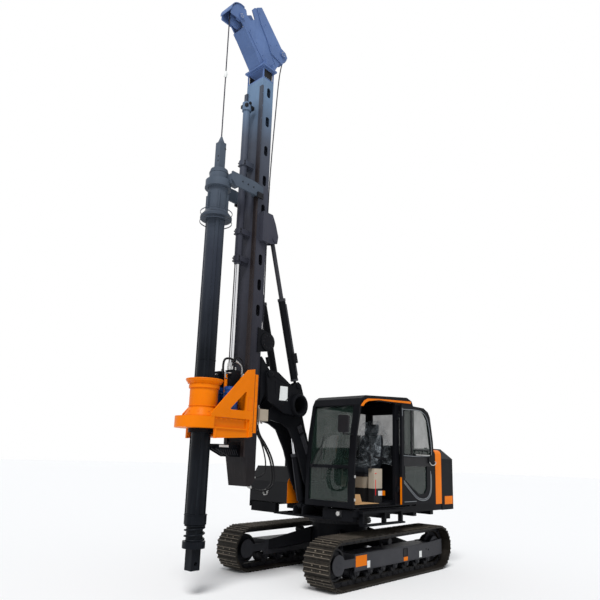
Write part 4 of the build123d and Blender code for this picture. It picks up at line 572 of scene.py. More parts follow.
PINS = [pin_point(LOOP * i / SHOES) for i in range(SHOES)]
for side, word in ((1, "left"), (-1, "right")):
    heads = Piece(f"shoe_bolts_{word}", UNDER, "worn")
    edges = Piece(f"grouser_edges_{word}", UNDER, "worn")
    chain = Piece(f"track_chain_{word}", UNDER, "cast")
    for k in range(SHOES):
        (ax, az), (bx, bz) = PINS[k], PINS[(k + 1) % SHOES]
        pitch = math.hypot(bx - ax, bz - az)
        tx, tz = (bx - ax) / pitch, (bz - az) / pitch
        ox, oz = -tz, tx

        def on_shoe(s, rise, y):
            """A point s along the shoe from its middle and rise outside the line of the pins."""
            return P((ax + bx) / 2 + tx * s + ox * rise, y, (az + bz) / 2 + tz * s + oz * rise)

        for s in (-0.036, 0.036):
            for dy in (-0.078, 0.078):
                heads.bolt(on_shoe(s, SHOE_TOP, side * TRACK_Y + dy), (ox, 0, oz), 0.011, 0.011)
        if az > PIN_DEPTH + 0.01 or bz > PIN_DEPTH + 0.01:
            for s in GROUSERS:
                foot = on_shoe(s, SHOE_TOP + GROUSER_HEIGHT, side * TRACK_Y - GROUSER_HALF)
                along, rise = Vector((tx, 0, tz)), Vector((ox, 0, oz))
                edges.solid([foot + along * u + rise * v for u, v in ((-0.0042, -0.0012), (0.0042, -0.0012),
                    (0.003, 0.0009), (-0.003, 0.0009))], (0, 2 * GROUSER_HALF, 0))
        for face in (1, -1):
            y = side * TRACK_Y + face * CHAIN_HALF
            chain.bar(ax, (y, y + face * 0.012), az, 0.03, 14)
            chain.bar(ax, (y + face * 0.012, y + face * 0.02), az, 0.016, 10)
            chain.solid([P(ax + tx * pitch * u + ox * v, y - face * 0.001, az + tz * pitch * u + oz * v)
                for u, v in LINK_OUTLINE], (0, face * 0.007, 0))
    heads.done()
    chain.done()
    edges.done()

# Track frames: flanges, roller feet and caps
FRAME_FACE, ROLLER_Z = 1.1495, 0.1945
frames = Piece("track_frame_trim", UNDER, "grey")
feet = Piece("roller_feet", UNDER, "cast")
caps = Piece("roller_caps", UNDER, "cast")
for side in (1, -1):
    for y_face, out in ((side * 1.15, side), (side * 0.845, -side)):
        for z0, z1 in ((0.24, 0.25), (0.481, 0.491)):
            frames.box((-1.18, 1.08), (y_face - out * 0.001, y_face + out * 0.007), (z0, z1))
        for i in range(7):
            x = (i / 6 - 0.5) * 2.15 - 0.05
            foot = [(x - 0.075, 0.242), (x + 0.075, 0.242), (x + 0.05, 0.172), (x - 0.05, 0.172)]
            feet.plate(foot, y_face - out * 0.022, y_face + out * 0.002)
            for dx in (-0.055, 0.055):
                feet.bolt(P(x + dx, y_face + out * 0.002, 0.228), (0, out, 0), 0.01)
            caps.lathe([(0.03, 0), (0.03, 0.01), (0.018, 0.016), (0.0005, 0.016), (0.0005, 0)],
                P(x, y_face + out * 0.001, ROLLER_Z), (0, out, 0), 18)
            for flange in (0.06, 0.09):
                y = side * TRACK_Y + out * flange
                caps.bar(x, (y - 0.006, y + 0.006), ROLLER_Z, 0.086, 28)
frames.done(bevel=0.002)
feet.done(bevel=0.003)
caps.done()

# Idler and sprocket faces, blank plates, and hand holes drawn as dark plates that paint the shade inside them
ends = Piece("idler_faces", UNDER, "grey")
for side in (1, -1):
    out = (0, side, 0)
    front, rear = (P(x, side * y, z) for (x, z), y in ((FRONT_CENTRE, 1.134), (REAR_CENTRE, 1.09)))
    ends.lathe([(0.118, 0), (0.15, 0), (0.15, 0.007), (0.142, 0.011), (0.12, 0.011)], front, out, 56)
    ends.lathe(capped((0.085, 0), (0.085, 0.009), (0.07, 0.014)), front, out)
    ends.lathe([(0.13, 0), (0.182, 0), (0.182, 0.01), (0.17, 0.018), (0.13, 0.018)], rear, out, 56)
    ends.lathe(capped((0.095, 0), (0.095, 0.022), (0.08, 0.03)), rear, out)
    for (x, z), y, *circle in ((FRONT_CENTRE, 1.143, 0.055, 4, 0.01, 0.4),
            (REAR_CENTRE, 1.107, 0.155, 16, 0.01), (REAR_CENTRE, 1.119, 0.06, 6, 0.009)):
        ends.bolts(P(x, side * y, z), out, *circle)
ends.done()

orange_plates = Piece("frame_orange_plates", UNDER, "orange")
white_plates = Piece("frame_white_plates", UNDER, "white")
for x0, x1, z0, z1 in ((0.768, 1.059, 0.302, 0.462), (-0.446, -0.319, 0.25, 0.316)):
    orange_plates.box((x0, x1), (FRAME_FACE, 1.152), (z0, z1))
for x0, x1, z0, z1 in ((0.678, 0.757, 0.262, 0.365), (-0.914, -0.83, 0.26, 0.367)):
    white_plates.box((x0, x1), (FRAME_FACE, 1.152), (z0, z1))
orange_plates.done(bevel=0.0008)
white_plates.done(bevel=0.0008)
# painted shade: the hand holes are thin dark plates and discs on the frame face, standing in for the shade
# inside the holes
hand_hole_shade = Piece("frame_hand_hole_shade", UNDER, "rubber_and_shade")
rims = Piece("frame_hole_rims", UNDER, "black")
hand_hole_shade.side_boxes((-0.427, -0.309), (FRAME_FACE, 1.1512), (0.33, 0.446))
for x, z in (((-0.437, -0.427), (0.32, 0.456)), ((-0.309, -0.299), (0.32, 0.456)),
        ((-0.437, -0.299), (0.446, 0.456)), ((-0.437, -0.299), (0.32, 0.33))):
    rims.side_boxes(x, (FRAME_FACE, 1.156), z)
for side in (1, -1):
    hand_hole_shade.bar(-1.075, (side * FRAME_FACE, side * 1.1515), 0.38, 0.022, 20)
    rims.bolts(P(-1.15, side * 1.15, 0.365), (0, side, 0), 0.001, 1, 0.012)
hand_hole_shade.done()
rims.done(bevel=0.002)

# Slew ring bolts
ring = Piece("slew_ring_bolts", UNDER, "cast")
ring.bolts(P(0, 0, 0.889), (0, 0, 1), 0.549, 40, 0.008, height=0.0006)
for c, s in ring_points(36):
    ring.bolt(P(0.56 * c, 0.56 * s, 0.85), (c, s, 0), 0.011)
ring.done()

# Seat: crowned pads with sewn channels, in the place of the plain seat solid
SEAT_Y = 0.69


def place_seed(name):
    """A steady number from a name, for soft unevenness that differs between pads."""
    return sum(ord(letter) for letter in name) * 0.13


def pad(name, centre, along, size, crown, bolster=0.0, seams=(), corner=6.0, slim=0.0, cells=(34, 34)):
    """A crowned closed pad. size is length, width and thickness; its length runs along the given way."""
    length, width, thick = size
    along, across = Vector(along).normalized(), Vector((0, 1, 0))
    outward = along.cross(across)
    piece = Piece(name, UPPER, "fabric", "seat_fabric")
    top, low = [], []
    for i in range(cells[0] + 1):
        top.append([])
        low.append([])
        for j in range(cells[1] + 1):
            u, v = 2 * i / cells[0] - 1, 2 * j / cells[1] - 1
            edge = (max(0.0, 1 - abs(u) ** corner) * max(0.0, 1 - abs(v) ** corner)) ** 0.5
            pull = 1 - 0.045 * (abs(v) ** 3) * (1 - abs(u)) - slim * max(0.0, u)
            pull_u = 1 - 0.035 * (1 - abs(v) ** 2)
            rise = edge * (0.5 * thick + crown * (1 - u * u) * (1 - v * v))
            rise += edge * bolster * max(0.0, abs(v) - 0.45) ** 1.4
            for axis, place, half, deep in seams:
                t = (v if axis == "v" else u) - place
                rise -= edge * deep * math.exp(-(t / half) ** 2)
            rise += edge * 0.0022 * field.noise(Vector((u * 3.1 + place_seed(name), v * 3.7, 0.5)))
            place = centre + along * (0.5 * length * u / pull_u * 0.965) + across * (0.5 * width * v * pull)
            top[i].append(piece.bm.verts.new(place + outward * rise))
            rim = i in (0, cells[0]) or j in (0, cells[1])
            low[i].append(top[i][j] if rim else piece.bm.verts.new(place - outward * (0.5 * edge * thick)))
    for sheet, order in ((top, 1), (low, -1)):
        for i in range(cells[0]):
            for j in range(cells[1]):
                quad = (sheet[i][j], sheet[i + 1][j], sheet[i + 1][j + 1], sheet[i][j + 1])
                piece.bm.faces.new(quad[::order])
    obj = piece.done(subdivide=1)
    return obj


BACK_UP = Vector((-0.2, 0, 0.98))
# Seams: the pad's axis across them, their place on it, half width and depth
BOLSTER_SEAMS = (("v", -0.55, 0.035, 0.012), ("v", 0.55, 0.035, 0.012))
seat_pads = [
    pad("seat_cushion", P(0.27, SEAT_Y, 1.735), (1, 0, 0), (0.52, 0.5, 0.13), 0.02, 0.16,
        BOLSTER_SEAMS + (("u", -0.1, 0.03, 0.007), ("u", 0.4, 0.03, 0.007))),
    pad("seat_back", P(0.045, SEAT_Y, 2.075), BACK_UP, (0.6, 0.5, 0.12), 0.022, 0.2,
        BOLSTER_SEAMS + tuple(("u", place, 0.025, 0.007) for place in (-0.4, 0.0, 0.4)), slim=0.14),
    pad("seat_headrest", P(-0.01, SEAT_Y, 2.455), BACK_UP, (0.2, 0.3, 0.09), 0.018, 0.0,
        (("v", -0.6, 0.05, 0.006), ("v", 0.6, 0.05, 0.006)), corner=4.0, slim=0.1, cells=(24, 28)),
]
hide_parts("operator_seat")
seat_frame = Piece("seat_shell", UPPER, "plastic", "cab_plastic")
back_face = [(0.08, 1.64), (0.02, 1.64), (-0.045, 2.0), (-0.06, 2.36), (-0.025, 2.36), (0.0, 2.0)]
seat_frame.plate(back_face, SEAT_Y - 0.2, SEAT_Y + 0.2)
seat_frame.box((0.03, 0.52), (SEAT_Y - 0.235, SEAT_Y + 0.235), (1.641, 1.69))
for dy in (-0.06, 0.06):
    seat_frame.rod(P(-0.03, SEAT_Y + dy, 2.31), P(-0.022, SEAT_Y + dy, 2.42), 0.007, 12)
for side in (-1, 1):
    seat_frame.plate([(0.0, 1.93), (0.33, 1.96), (0.33, 1.99), (0.0, 1.965)], SEAT_Y + side * 0.262,
        SEAT_Y + side * 0.318)
    seat_frame.box((-0.01, 0.03), (SEAT_Y + side * 0.235, SEAT_Y + side * 0.262), (1.935, 1.96))
seat_frame.done(bevel=0.008, segments=3)

# Clear film thrown over the seat: up over the cushion and the back, and down behind
film = Piece("seat_film", UPPER, "film")
DRAPE = smooth_line(at_y(SEAT_Y, ((0.545, 1.8), (0.48, 1.842), (0.3, 1.85), (0.175, 1.9), (0.13, 2.05),
    (0.085, 2.28), (0.065, 2.48), (0.01, 2.585), (-0.075, 2.6), (-0.15, 2.5), (-0.2, 2.3), (-0.235, 2.05),
    (-0.25, 1.85))), 7)
FILM_COLUMNS = 44
# Folds: depth, then how often they come across and along the film, and a seed
FOLDS = ((0.012, 3.6, 13.0, 2.0), (0.007, 10.0, 34.0, 7.0))
film_rows = []
for i, centre in enumerate(DRAPE):
    share = i / (len(DRAPE) - 1)
    ahead = (DRAPE[min(i + 1, len(DRAPE) - 1)] - DRAPE[max(i - 1, 0)]).normalized()
    outward = Vector((ahead.z, 0, -ahead.x)) if centre.z > 1.87 else Vector((0, 0, 1))
    half = 0.275 - 0.085 * math.exp(-((share - 0.62) / 0.16) ** 2)
    row = []
    for j in range(FILM_COLUMNS + 1):
        v = 2 * j / FILM_COLUMNS - 1
        crease = sum(depth * field.noise(Vector((v * across, share * along, seed)))
            for depth, across, along, seed in FOLDS)
        sag = 0.075 * max(0.0, abs(v) - 0.72)
        row.append(film.bm.verts.new(centre + Vector((0, half * v, 0)) + outward * (0.006 + crease - sag)))
    film_rows.append(row)
for a, b in zip(film_rows, film_rows[1:]):
    for j in range(FILM_COLUMNS):
        film.bm.faces.new((a[j], b[j], b[j + 1], a[j + 1]))
film = film.done(smooth=180.0)

# Belt, and the blank plates on the seat's base
belt = Piece("seat_belt", UPPER, "red")
belt.box((0.365, 0.382), (1.0405, 1.0425), (1.345, 1.6))
belt.solid([P(0.345, 0.985, 1.76), P(0.395, 0.985, 1.748), P(0.398, 1.043, 1.69), P(0.348, 1.043, 1.702)],
    (0, 0.004, 0.004))
belt.done(bevel=0.001)
Piece("seat_base_plate_white", UPPER, "white").box((0.18, 0.296), (1.04, 1.0415), (1.338, 1.416)).done()
Piece("seat_base_plate_orange", UPPER, "orange").box((0.091, 0.18), (1.04, 1.0415), (1.338, 1.416)).done()

# Cab inside: levers, pedals, floor card
levers = Piece("cab_levers", UPPER, "plastic", "cab_plastic")
for side in (-1, 1):
    y = SEAT_Y + side * 0.29
    levers.lathe(capped((0.036, 0), (0.03, 0.03), (0.014, 0.048)), P(0.44, y, 1.78), segments=24)
    levers.sweep(at_y(y, [(0.44, 1.82), (0.448, 1.87), (0.446, 1.92)]), 0.01)
    levers.lathe([(0.0005, 0), (0.017, 0.0), (0.022, 0.035), (0.019, 0.085), (0.01, 0.1), (0.0005, 0.102)],
        P(0.446, y, 1.9), (0.1, 0, 1), 20)
    for dy in (-0.075, 0.075):
        levers.sweep(at_y(SEAT_Y + dy, [(0.86, 1.226), (0.85, 1.42), (0.8, 1.56), (0.79, 1.64)]), 0.009)
        levers.rod(P(0.79, SEAT_Y + dy, 1.63), P(0.788, SEAT_Y + dy, 1.72), 0.016, 16)
    pedal = ((0.82, -0.045, 1.245), (0.98, -0.045, 1.3), (0.98, 0.045, 1.3), (0.82, 0.045, 1.245))
    levers.solid([P(x, SEAT_Y + side * 0.075 + dy, z) for x, dy, z in pedal], (0, 0, 0.012))
    levers.bar(0.9, SEAT_Y + side * 0.075, (1.225, 1.275), 0.012, 12)
levers.box((1.06, 1.1), (0.262, 0.45), (1.9, 2.06))
levers.bar(1.08, 0.3, (1.8, 1.9), 0.012, 12)
levers.box((1.04, 1.12), (0.246, 0.36), (1.226, 1.802))
levers.done(bevel=0.004)
card = Piece("floor_card", UPPER, "card")
card.box((0.45, 1.12), (0.56, 1.165), (1.2255, 1.229))
card.solid([P(0.73, 1.02, 1.229), P(1.0, 1.02, 1.229), P(0.98, 0.985, 1.372), P(0.745, 0.985, 1.366)],
    (0, 0.004, 0))
card.done(bevel=0.001)

# Front lower pane's wire guard, and the wiper
guard = Piece("front_pane_mesh", UPPER, "grey")
for i in range(15):
    y = 0.3 + 0.79 * i / 14
    guard.rod(P(1.16, y, 1.262), P(1.155, y, 1.772), 0.0022, 6)
for i in range(10):
    z = 1.27 + 0.495 * i / 9
    guard.bar(1.157, (0.29, 1.1), z, 0.0022, 6)
guard.done()
wiper = Piece("cab_wiper", UPPER, "plastic", "cab_plastic")
wiper.bar((1.18, 1.215), 0.33, 1.812, 0.018, 16)
wiper.sweep([P(1.207, 0.33, 1.812), P(1.203, 0.42, 1.98), P(1.182, 0.52, 2.14)], 0.006)
wiper.sweep([P(1.19, 0.5, 1.9), P(1.18, 0.52, 2.14), P(1.16, 0.54, 2.29)], 0.006)
wiper.done()

# Cab outside: orange stripes, latches, lamp
stripe = Piece("cab_orange_stripe", UPPER, "orange")
roof_line = [(1.079, 2.776), (0.985, 2.868), (0.884, 2.909), (0.6, 2.932), (0.104, 2.958), (-0.472, 2.985),
    (-0.453, 2.943), (0.104, 2.924), (0.56, 2.914), (0.853, 2.872), (0.945, 2.834), (1.01, 2.774)]
stripe.plate(roof_line, 1.231, 1.237)
stripe.done(bevel=0.002)
Piece("door_edge_stripe", "cab_door", "orange").box((-0.0802, -0.0792), (1.237, 1.273), (1.195, 1.648)).done()
latches = Piece("cab_latches", UPPER, "steel")
for x, z in ((1.18, 1.655), (1.18, 1.305)):
    latches.box((x - 0.012, x + 0.012), (1.199, 1.214), (z - 0.02, z + 0.02))
    latches.bar(x, (1.21, 1.222), z - 0.008, 0.006, 12)
latches.lathe([(0.0005, 0), (0.034, 0), (0.038, 0.012), (0.036, 0.03), (0.028, 0.034), (0.0005, 0.03)],
    P(1.165, 0.885, 1.075), (1, 0, 0), 28)
latches.done(bevel=0.001)
Piece("deck_lamp_body", UPPER, "plastic").box((1.135, 1.168), (0.835, 0.945), (1.02, 1.13)).done(bevel=0.006)

# Side and tail panels, let into the shell by half a millimetre
SHELL_FACE = 1.1995
body_orange = Piece("body_orange_panels", UPPER, "orange")
SIDE_STRIPE = ((1.2, 1.155), (1.203, 1.155), (1.203, 2.06), (1.1965, 2.096), (1.1758, 2.126), (1.145, 2.146),
    (1.11, 2.153), (1.11, 2.15), (1.1435, 2.143), (1.1735, 2.124), (1.1938, 2.094), (1.2, 2.06))
for side in (1, -1):
    body_orange.solid([P(-1.598, side * y, z) for y, z in SIDE_STRIPE], (0.225, 0, 0))
body_orange.box((-2.03, -1.72), (SHELL_FACE, 1.202), (1.14, 1.29))
body_orange.done()
seams = Piece("body_panel_seams", UPPER, "rubber_and_shade")
for x in (-1.372, -1.01, -0.672):
    seams.side_boxes((x - 0.003, x + 0.003), (SHELL_FACE, 1.2012), (1.17, 2.055))
for x in (-0.59, -0.18, 0.24):
    seams.box((x - 0.003, x + 0.003), (-SHELL_FACE, -1.2012), (1.165, 2.05))
seams.done()
locks = Piece("panel_locks", UPPER, "plastic")
for side, places in ((1, ((-1.06, 1.9), (-0.72, 1.9))), (-1, ((-1.06, 1.9), (-0.72, 1.9), (-0.24, 1.7),
        (0.19, 1.7), (0.7, 1.5)))):
    for x, z in places:
        locks.lathe(capped((0.03, 0), (0.03, 0.006), (0.024, 0.01)), P(x, side * 1.2, z), (0, side, 0), 24)
        locks.box((x - 0.022, x + 0.022), (side * 1.208, side * 1.213), (z - 0.005, z + 0.005))
locks.done()
slats = Piece("hood_slats", UPPER, "black")
for side in (1, -1):
    for z in (1.42, 1.5, 1.58, 1.66, 1.74):
        slats.solid([P(-1.496, side * y, z + dz) for y, dz in ((1.172, 0.034), (1.1735, 0.036),
            (1.1985, 0.006), (1.197, 0.004))], (0.586, 0, 0))
slats.done()
tail = Piece("tail_trim", UPPER, "grey")
for side in (1, -1):
    tail.lathe([(0.01, 0), (0.03, 0), (0.034, 0.02), (0.03, 0.03), (0.01, 0.03)], P(-1.9, side * 0.7, 2.178),
        segments=24)
tail.done()

# Door: window trims and rail, and the catch that holds it open
DOOR_FACE = 1.2755
trims = Piece("door_trims", "cab_door", "trim")
UPPER_TRIM = [(-0.135, 2.014), (-0.72, 2.01), (-1.06, 2.04), (-1.1, 2.12), (-1.085, 2.3), (-1.001, 2.612),
    (-0.92, 2.74), (-0.8, 2.812), (-0.6, 2.836), (-0.09, 2.815)]
LOWER_TRIM = [(-0.14, 1.59), (-0.36, 1.44), (-0.56, 1.318), (-0.7, 1.275), (-0.83, 1.268), (-0.95, 1.3),
    (-1.03, 1.38), (-1.058, 1.521), (-1.058, 1.76)]
INNER_TRIM = [(-0.14, 1.56), (-0.35, 1.415), (-0.545, 1.295), (-0.7, 1.25), (-0.84, 1.243), (-0.97, 1.277),
    (-1.058, 1.365), (-1.084, 1.515), (-1.084, 1.7)]
for line in (UPPER_TRIM, LOWER_TRIM, INNER_TRIM):
    trims.sweep(at_y(DOOR_FACE, line), 0.0075, 8, 6)
trims.sweep(at_y(DOOR_FACE, [(-0.155, 1.236), (-0.35, 1.236), (-0.543, 1.236)]), 0.0065, 8, 4)
trims.sweep(at_y(DOOR_FACE, [(-0.1, 2.84), (-0.102, 2.78), (-0.104, 2.7)]), 0.0075, 8, 4)
trims.done()
divider = Piece("door_glass_divider", "cab_door", "plastic")
divider.box((-0.452, -0.412), (1.244, 1.268), (2.03, 2.835))
divider.box((-1.085, -0.13), (1.2745, 1.28), (1.84, 1.99))
divider.done(bevel=0.004)
rail = Piece("door_rail", "cab_door", "black")
rail.sweep([P(-0.47, 1.276, 2.02), P(-0.47, 1.29, 2.09), P(-0.53, 1.296, 2.118), P(-0.74, 1.297, 2.12),
    P(-1.0, 1.296, 2.118), P(-1.05, 1.29, 2.08), P(-1.052, 1.276, 2.01)], 0.01, 12, 6)
rail.rod(P(-0.74, 1.276, 2.01), P(-0.74, 1.297, 2.118), 0.008, 12)
rail.box((-1.075, -0.96), (1.2745, 1.3), (1.9, 2.0))
rail.done(bevel=0.003)
strip = Piece("door_rail_strip", "cab_door", "steel")
strip.box((-0.98, -0.5), (1.3035, 1.3085), (2.03, 2.044))
strip.bar(-0.56, (1.276, 1.304), 2.037, 0.006, 10)
strip.bar(-0.93, (1.276, 1.304), 2.037, 0.006, 10)
strip.done()
catch = Piece("door_hold_open_catch", UPPER, "steel")
catch.sweep([P(-1.245, 1.199, 1.925), P(-1.245, 1.27, 1.925), P(-1.225, 1.295, 1.9), P(-1.15, 1.297, 1.865),
    P(-1.06, 1.297, 1.87), P(-0.985, 1.296, 1.92)], 0.008, 10, 6)
catch.lathe(capped((0.026, 0), (0.026, 0.008)), P(-1.245, 1.199, 1.925), (0, 1, 0), 20)
catch.done()

# Boom: pins, ring, pipes and blank plate
PIN_PLACES = (("boom", 2.235, 3.205, 0.302, 0.058), ("boom", 1.56, 3.09, 0.3, 0.048),
    (UPPER, 0.7, 1.18, 0.166, 0.06))
pins = {}
for body, x, z, y, r in PIN_PLACES:
    piece = pins.setdefault(body, Piece(f"pin_ends_{body}", body, "black"))
    for side in (1, -1):
        piece.lathe(capped((r, 0), (r, 0.008), (r - 0.006, 0.012)), P(x, side * y, z), (0, side, 0), 32)
        piece.bolts(P(x, side * (y + 0.011), z), (0, side, 0), 0.55 * r, 3, 0.01, 0.5)
for piece in pins.values():
    piece.done()
boom = Piece("boom_ring_and_ribs", "boom", "black")
for side in (1, -1):
    boom.lathe([(0.142, 0), (0.191, 0), (0.191, -0.022), (0.185, -0.03), (0.185, 0.006), (0.178, 0.012),
        (0.15, 0.012), (0.142, 0.006)], P(1.55, side * 0.34, 2.77), (0, side, 0), 56)
    for points in ([(1.76, 3.07), (2.15, 3.19)], [(1.7, 2.96), (1.98, 2.7)], [(2.11, 3.12), (2.08, 2.9)]):
        start, end = (P(x, side * 0.291, z) for x, z in points)
        boom.rod(start, end, 0.007, 8)
boom.done()
pipes = Piece("boom_pipes", "boom", "grey")
clamps = Piece("boom_pipe_clamps", "boom", "black")
ALONG, ACROSS = line_frame(0, 0, 0.85, 1.59)
for side in (1, -1):
    for k in (-1, 0, 1):
        base = P(0.7, side * 0.18, 1.18) + ACROSS * (0.034 * k + 0.01)
        pipes.rod(base + ALONG * 0.42, base + ALONG * 1.42, 0.01, 12)
        for end in (0.42, 1.42):
            pipes.rod(base + ALONG * (end - 0.02), base + ALONG * (end + 0.02), 0.015, 6)
    for t in (0.55, 0.92, 1.3):
        base = P(0.7, side * 0.165, 1.18) + ALONG * t + ACROSS * 0.01
        clamps.solid(rectangle(base, ALONG, ACROSS, 0.02, 0.055), (0, side * 0.03, 0))
pipes.done()
clamps.done(bevel=0.003)
Piece("boom_blank_plate", "boom", "white").plate([(1.99, 3.047), (1.817, 3.053), (1.815, 2.82),
    (2.007, 2.815)], 0.2895, 0.292).done(bevel=0.0008)

# Cylinders: gland rings, ports and pipes
TILT_PIN, LIFT_PIN = (1.56, 3.09), (1.08, 1.13)
TILT_WAY, TILT_ACROSS = line_frame(*TILT_PIN, 2.265, 5.48)
LIFT_WAY, LIFT_ACROSS = line_frame(*LIFT_PIN, 1.39, 2.43)
tilt = Piece("tilt_barrel_fittings", "tilt_barrels", "grey")
for side in (1, -1):
    base = P(TILT_PIN[0], side * 0.224, TILT_PIN[1])
    tilt.rod(base + TILT_WAY * 1.455, base + TILT_WAY * 1.5, 0.068, 32)
    tilt.rod(base + TILT_WAY * 0.1, base + TILT_WAY * 0.13, 0.066, 32)
    tilt.bolts(base + TILT_WAY * 1.5, TILT_WAY, 0.053, 8, 0.006)
    for off in (-0.022, 0.0):
        start = base + TILT_ACROSS * off + Vector((0, side * 0.07, 0))
        tilt.rod(start + TILT_WAY * 0.18, start + TILT_WAY * 1.4, 0.007, 10)
tilt.done()
valve = Piece("tilt_barrel_valves", "tilt_barrels", "black")
for side in (1, -1):
    base = P(TILT_PIN[0], side * 0.224, TILT_PIN[1]) + TILT_WAY * 0.475
    corners = rectangle(base, TILT_WAY, TILT_ACROSS, 0.085, 0.045)
    valve.solid([c + Vector((0, side * 0.058, 0)) for c in corners], (0, side * 0.052, 0))
valve.done(bevel=0.006)
lift = Piece("lift_barrel_fittings", "lift_barrel", "grey")
base = P(LIFT_PIN[0], 0, LIFT_PIN[1])
lift.rod(base + LIFT_WAY * 0.835, base + LIFT_WAY * 0.88, 0.068, 32)
lift.bolts(base + LIFT_WAY * 0.88, LIFT_WAY, 0.053, 8, 0.006)
lift.rod(base + LIFT_WAY * 0.1 + LIFT_ACROSS * 0.07, base + LIFT_WAY * 0.8 + LIFT_ACROSS * 0.07, 0.008, 10)
lift.done()

# Mast: bolts, hatch lines, foot stop, pipes, rope
mast_bolts = Piece("mast_bolts", "mast", "mast")
mast_bolts.side_bolts(0.2315, [(2.653, 2.02 + 0.243 * i) for i in range(26)], 0.0075)
mast_bolts.side_bolts(0.2045, [(2.41 + 0.04 * i, z) for z in (8.456, 8.664) for i in range(6)], 0.008)
for i in range(7):
    for x in (2.365, 2.66):
        mast_bolts.bolt(P(x, -0.21 + 0.07 * i, 8.69), (0, 0, 1), 0.01)
mast_bolts.done()
Piece("head_neck_panels", "mast", "rubber_and_shade").side_boxes((2.412, 2.613), (0.1825, 0.1855),
    (8.456, 8.636)).done()
Piece("foot_stop_trim", "mast", "white").box((2.89, 3.07), (0.1395, 0.1415),
    (2.035, 2.068)).done(bevel=0.0008)
hatch = Piece("foot_stop_hatching", "mast", "grey")
for i in range(9):
    x = 2.7 + 0.042 * i
    hatch.solid(at_y(0.1395, [(x, 1.925), (x + 0.009, 1.925), (x + 0.05, 2.005), (x + 0.041, 2.005)]),
        (0, 0.003, 0))
hatch.done()
mast_pipes = Piece("mast_pipes", "mast", "rail")
mast_clips = Piece("mast_pipe_clips", "mast", "cast")
for x in (2.372, 2.34):
    for y in (0.105, -0.105):
        mast_pipes.bar(x, y, (3.5, 8.2), 0.01, 12)
for i in range(9):
    z = 4.05 + 0.5 * i
    for y in (0.105, -0.105):
        mast_clips.box((2.325, 2.386), (y - 0.014, y + 0.014), (z - 0.018, z + 0.018))
mast_pipes.done()
mast_clips.done(bevel=0.003)
Piece("hose_clip", "mast", "steel").bar((2.01, 2.04), 0.085, 1.372, 0.0445, 24, hollow=0.04).done()
crowd = Piece("crowd_clamp_bolts", "mast", "cast")
crowd.side_bolts(0.079, [(2.84, z + 0.045 + dz) for z in (5.0, 5.47, 6.7) for dz in (-0.025, 0.025)], 0.012)
crowd.box((2.69, 2.875), (-0.075, 0.075), (7.8, 7.86))
crowd.bar(2.8, (-0.095, 0.095), 7.88, 0.026, 20)
for side in (1, -1):
    crowd.plate([(2.735, 7.79), (2.865, 7.79), (2.84, 7.915), (2.76, 7.915)], side * 0.048, side * 0.066)
crowd.done(bevel=0.003)

rope = Piece("main_rope", "mast", "rope")
REAR_SHEAVE, FRONT_SHEAVE, GROOVE_R = (2.14, 9.215), (3.165, 9.36), 0.146


def on_sheave(centre, angles):
    """Points of the rope in a sheave's groove, at angles in degrees."""
    return [P(centre[0] + GROOVE_R * math.cos(math.radians(a)), 0,
        centre[1] + GROOVE_R * math.sin(math.radians(a))) for a in angles]


rope.strands(at_y(0, [(2.167, 3.74), (2.172, 4.8), (2.179, 6.139), (2.158, 7.015), (2.111, 7.94),
    (2.056, 8.806)]) + on_sheave(REAR_SHEAVE, (192, 168, 144, 120, 100)) + [P(2.6, 0, 9.43)]
    + on_sheave(FRONT_SHEAVE, (98, 74, 50, 26, 4)) + [P(3.311, 0, 9.3)])
rope.done()
drop = Piece("kelly_rope", None, "rope")
line = [P(3.311 - 0.006 * k / 180, 0, 9.3 - 2.8 * k / 180) for k in range(181)]
drop.follow(line, [rope_section()], 2 * math.pi / ROPE_PITCH)
drop = drop.done()
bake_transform(drop)
swivel = Piece("rope_splice", None, "white")
swivel.lathe([(0.0125, -0.06), (0.02, -0.05), (0.024, 0.0), (0.02, 0.05), (0.0125, 0.06)], P(3.307, 0, 8.19),
    segments=20)
swivel.bar(3.307, (-0.045, 0.045), 8.17, 0.01, 12)
swivel = swivel.done()
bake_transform(swivel)
wraps = Piece("winch_rope", "winch", "rope")
WINCH_X, WINCH_Z, WRAPS, WRAP_STEPS = 2.262, 3.737, 12, 12
wraps.sweep([P(WINCH_X + 0.094 * math.cos(a), -0.132 + 0.0212 * a / (2 * math.pi),
    WINCH_Z + 0.094 * math.sin(a)) for a in [math.pi / 6 * k for k in range(WRAPS * WRAP_STEPS + 1)]], 0.0105,
    8, 2)
wraps.done()
winch_bolts = Piece("winch_frame_bolts", "mast", "cast")
for side in (1, -1):
    winch_bolts.bolts(P(WINCH_X, side * 0.2395, WINCH_Z), (0, side, 0), 0.1, 10, 0.009)
winch_bolts.done()
hubs = Piece("sheave_hub_bolts", "mast", "steel")
for (x, z), y, r in ((FRONT_SHEAVE, 0.16, 0.032), (REAR_SHEAVE, 0.176, 0.038)):
    for side in (1, -1):
        hubs.bolts(P(x, side * y, z), (0, side, 0), r, 5, 0.007, 0.3)
hubs.done()
head_detail = Piece("head_plate_details", "mast", "head")
for side in (1, -1):
    head_detail.plate([(2.56, 8.76), (2.98, 9.18), (2.968, 9.192), (2.548, 8.772)], side * 0.134,
        side * 0.141)
    head_detail.plate([(2.3, 8.9), (2.42, 9.06), (2.408, 9.07), (2.288, 8.91)], side * 0.134, side * 0.141)
head_detail.side_bolts(0.15, ((2.76, 9.69), (2.6, 9.56), (2.3, 9.33), (2.23, 9.07), (2.46, 9.22),
    (2.64, 9.5)), 0.01)
head_detail.side_bolts(0.134, ((2.48, 8.76), (2.62, 8.92), (2.78, 9.08), (2.94, 9.23), (3.09, 9.33)), 0.009)
head_detail.done()

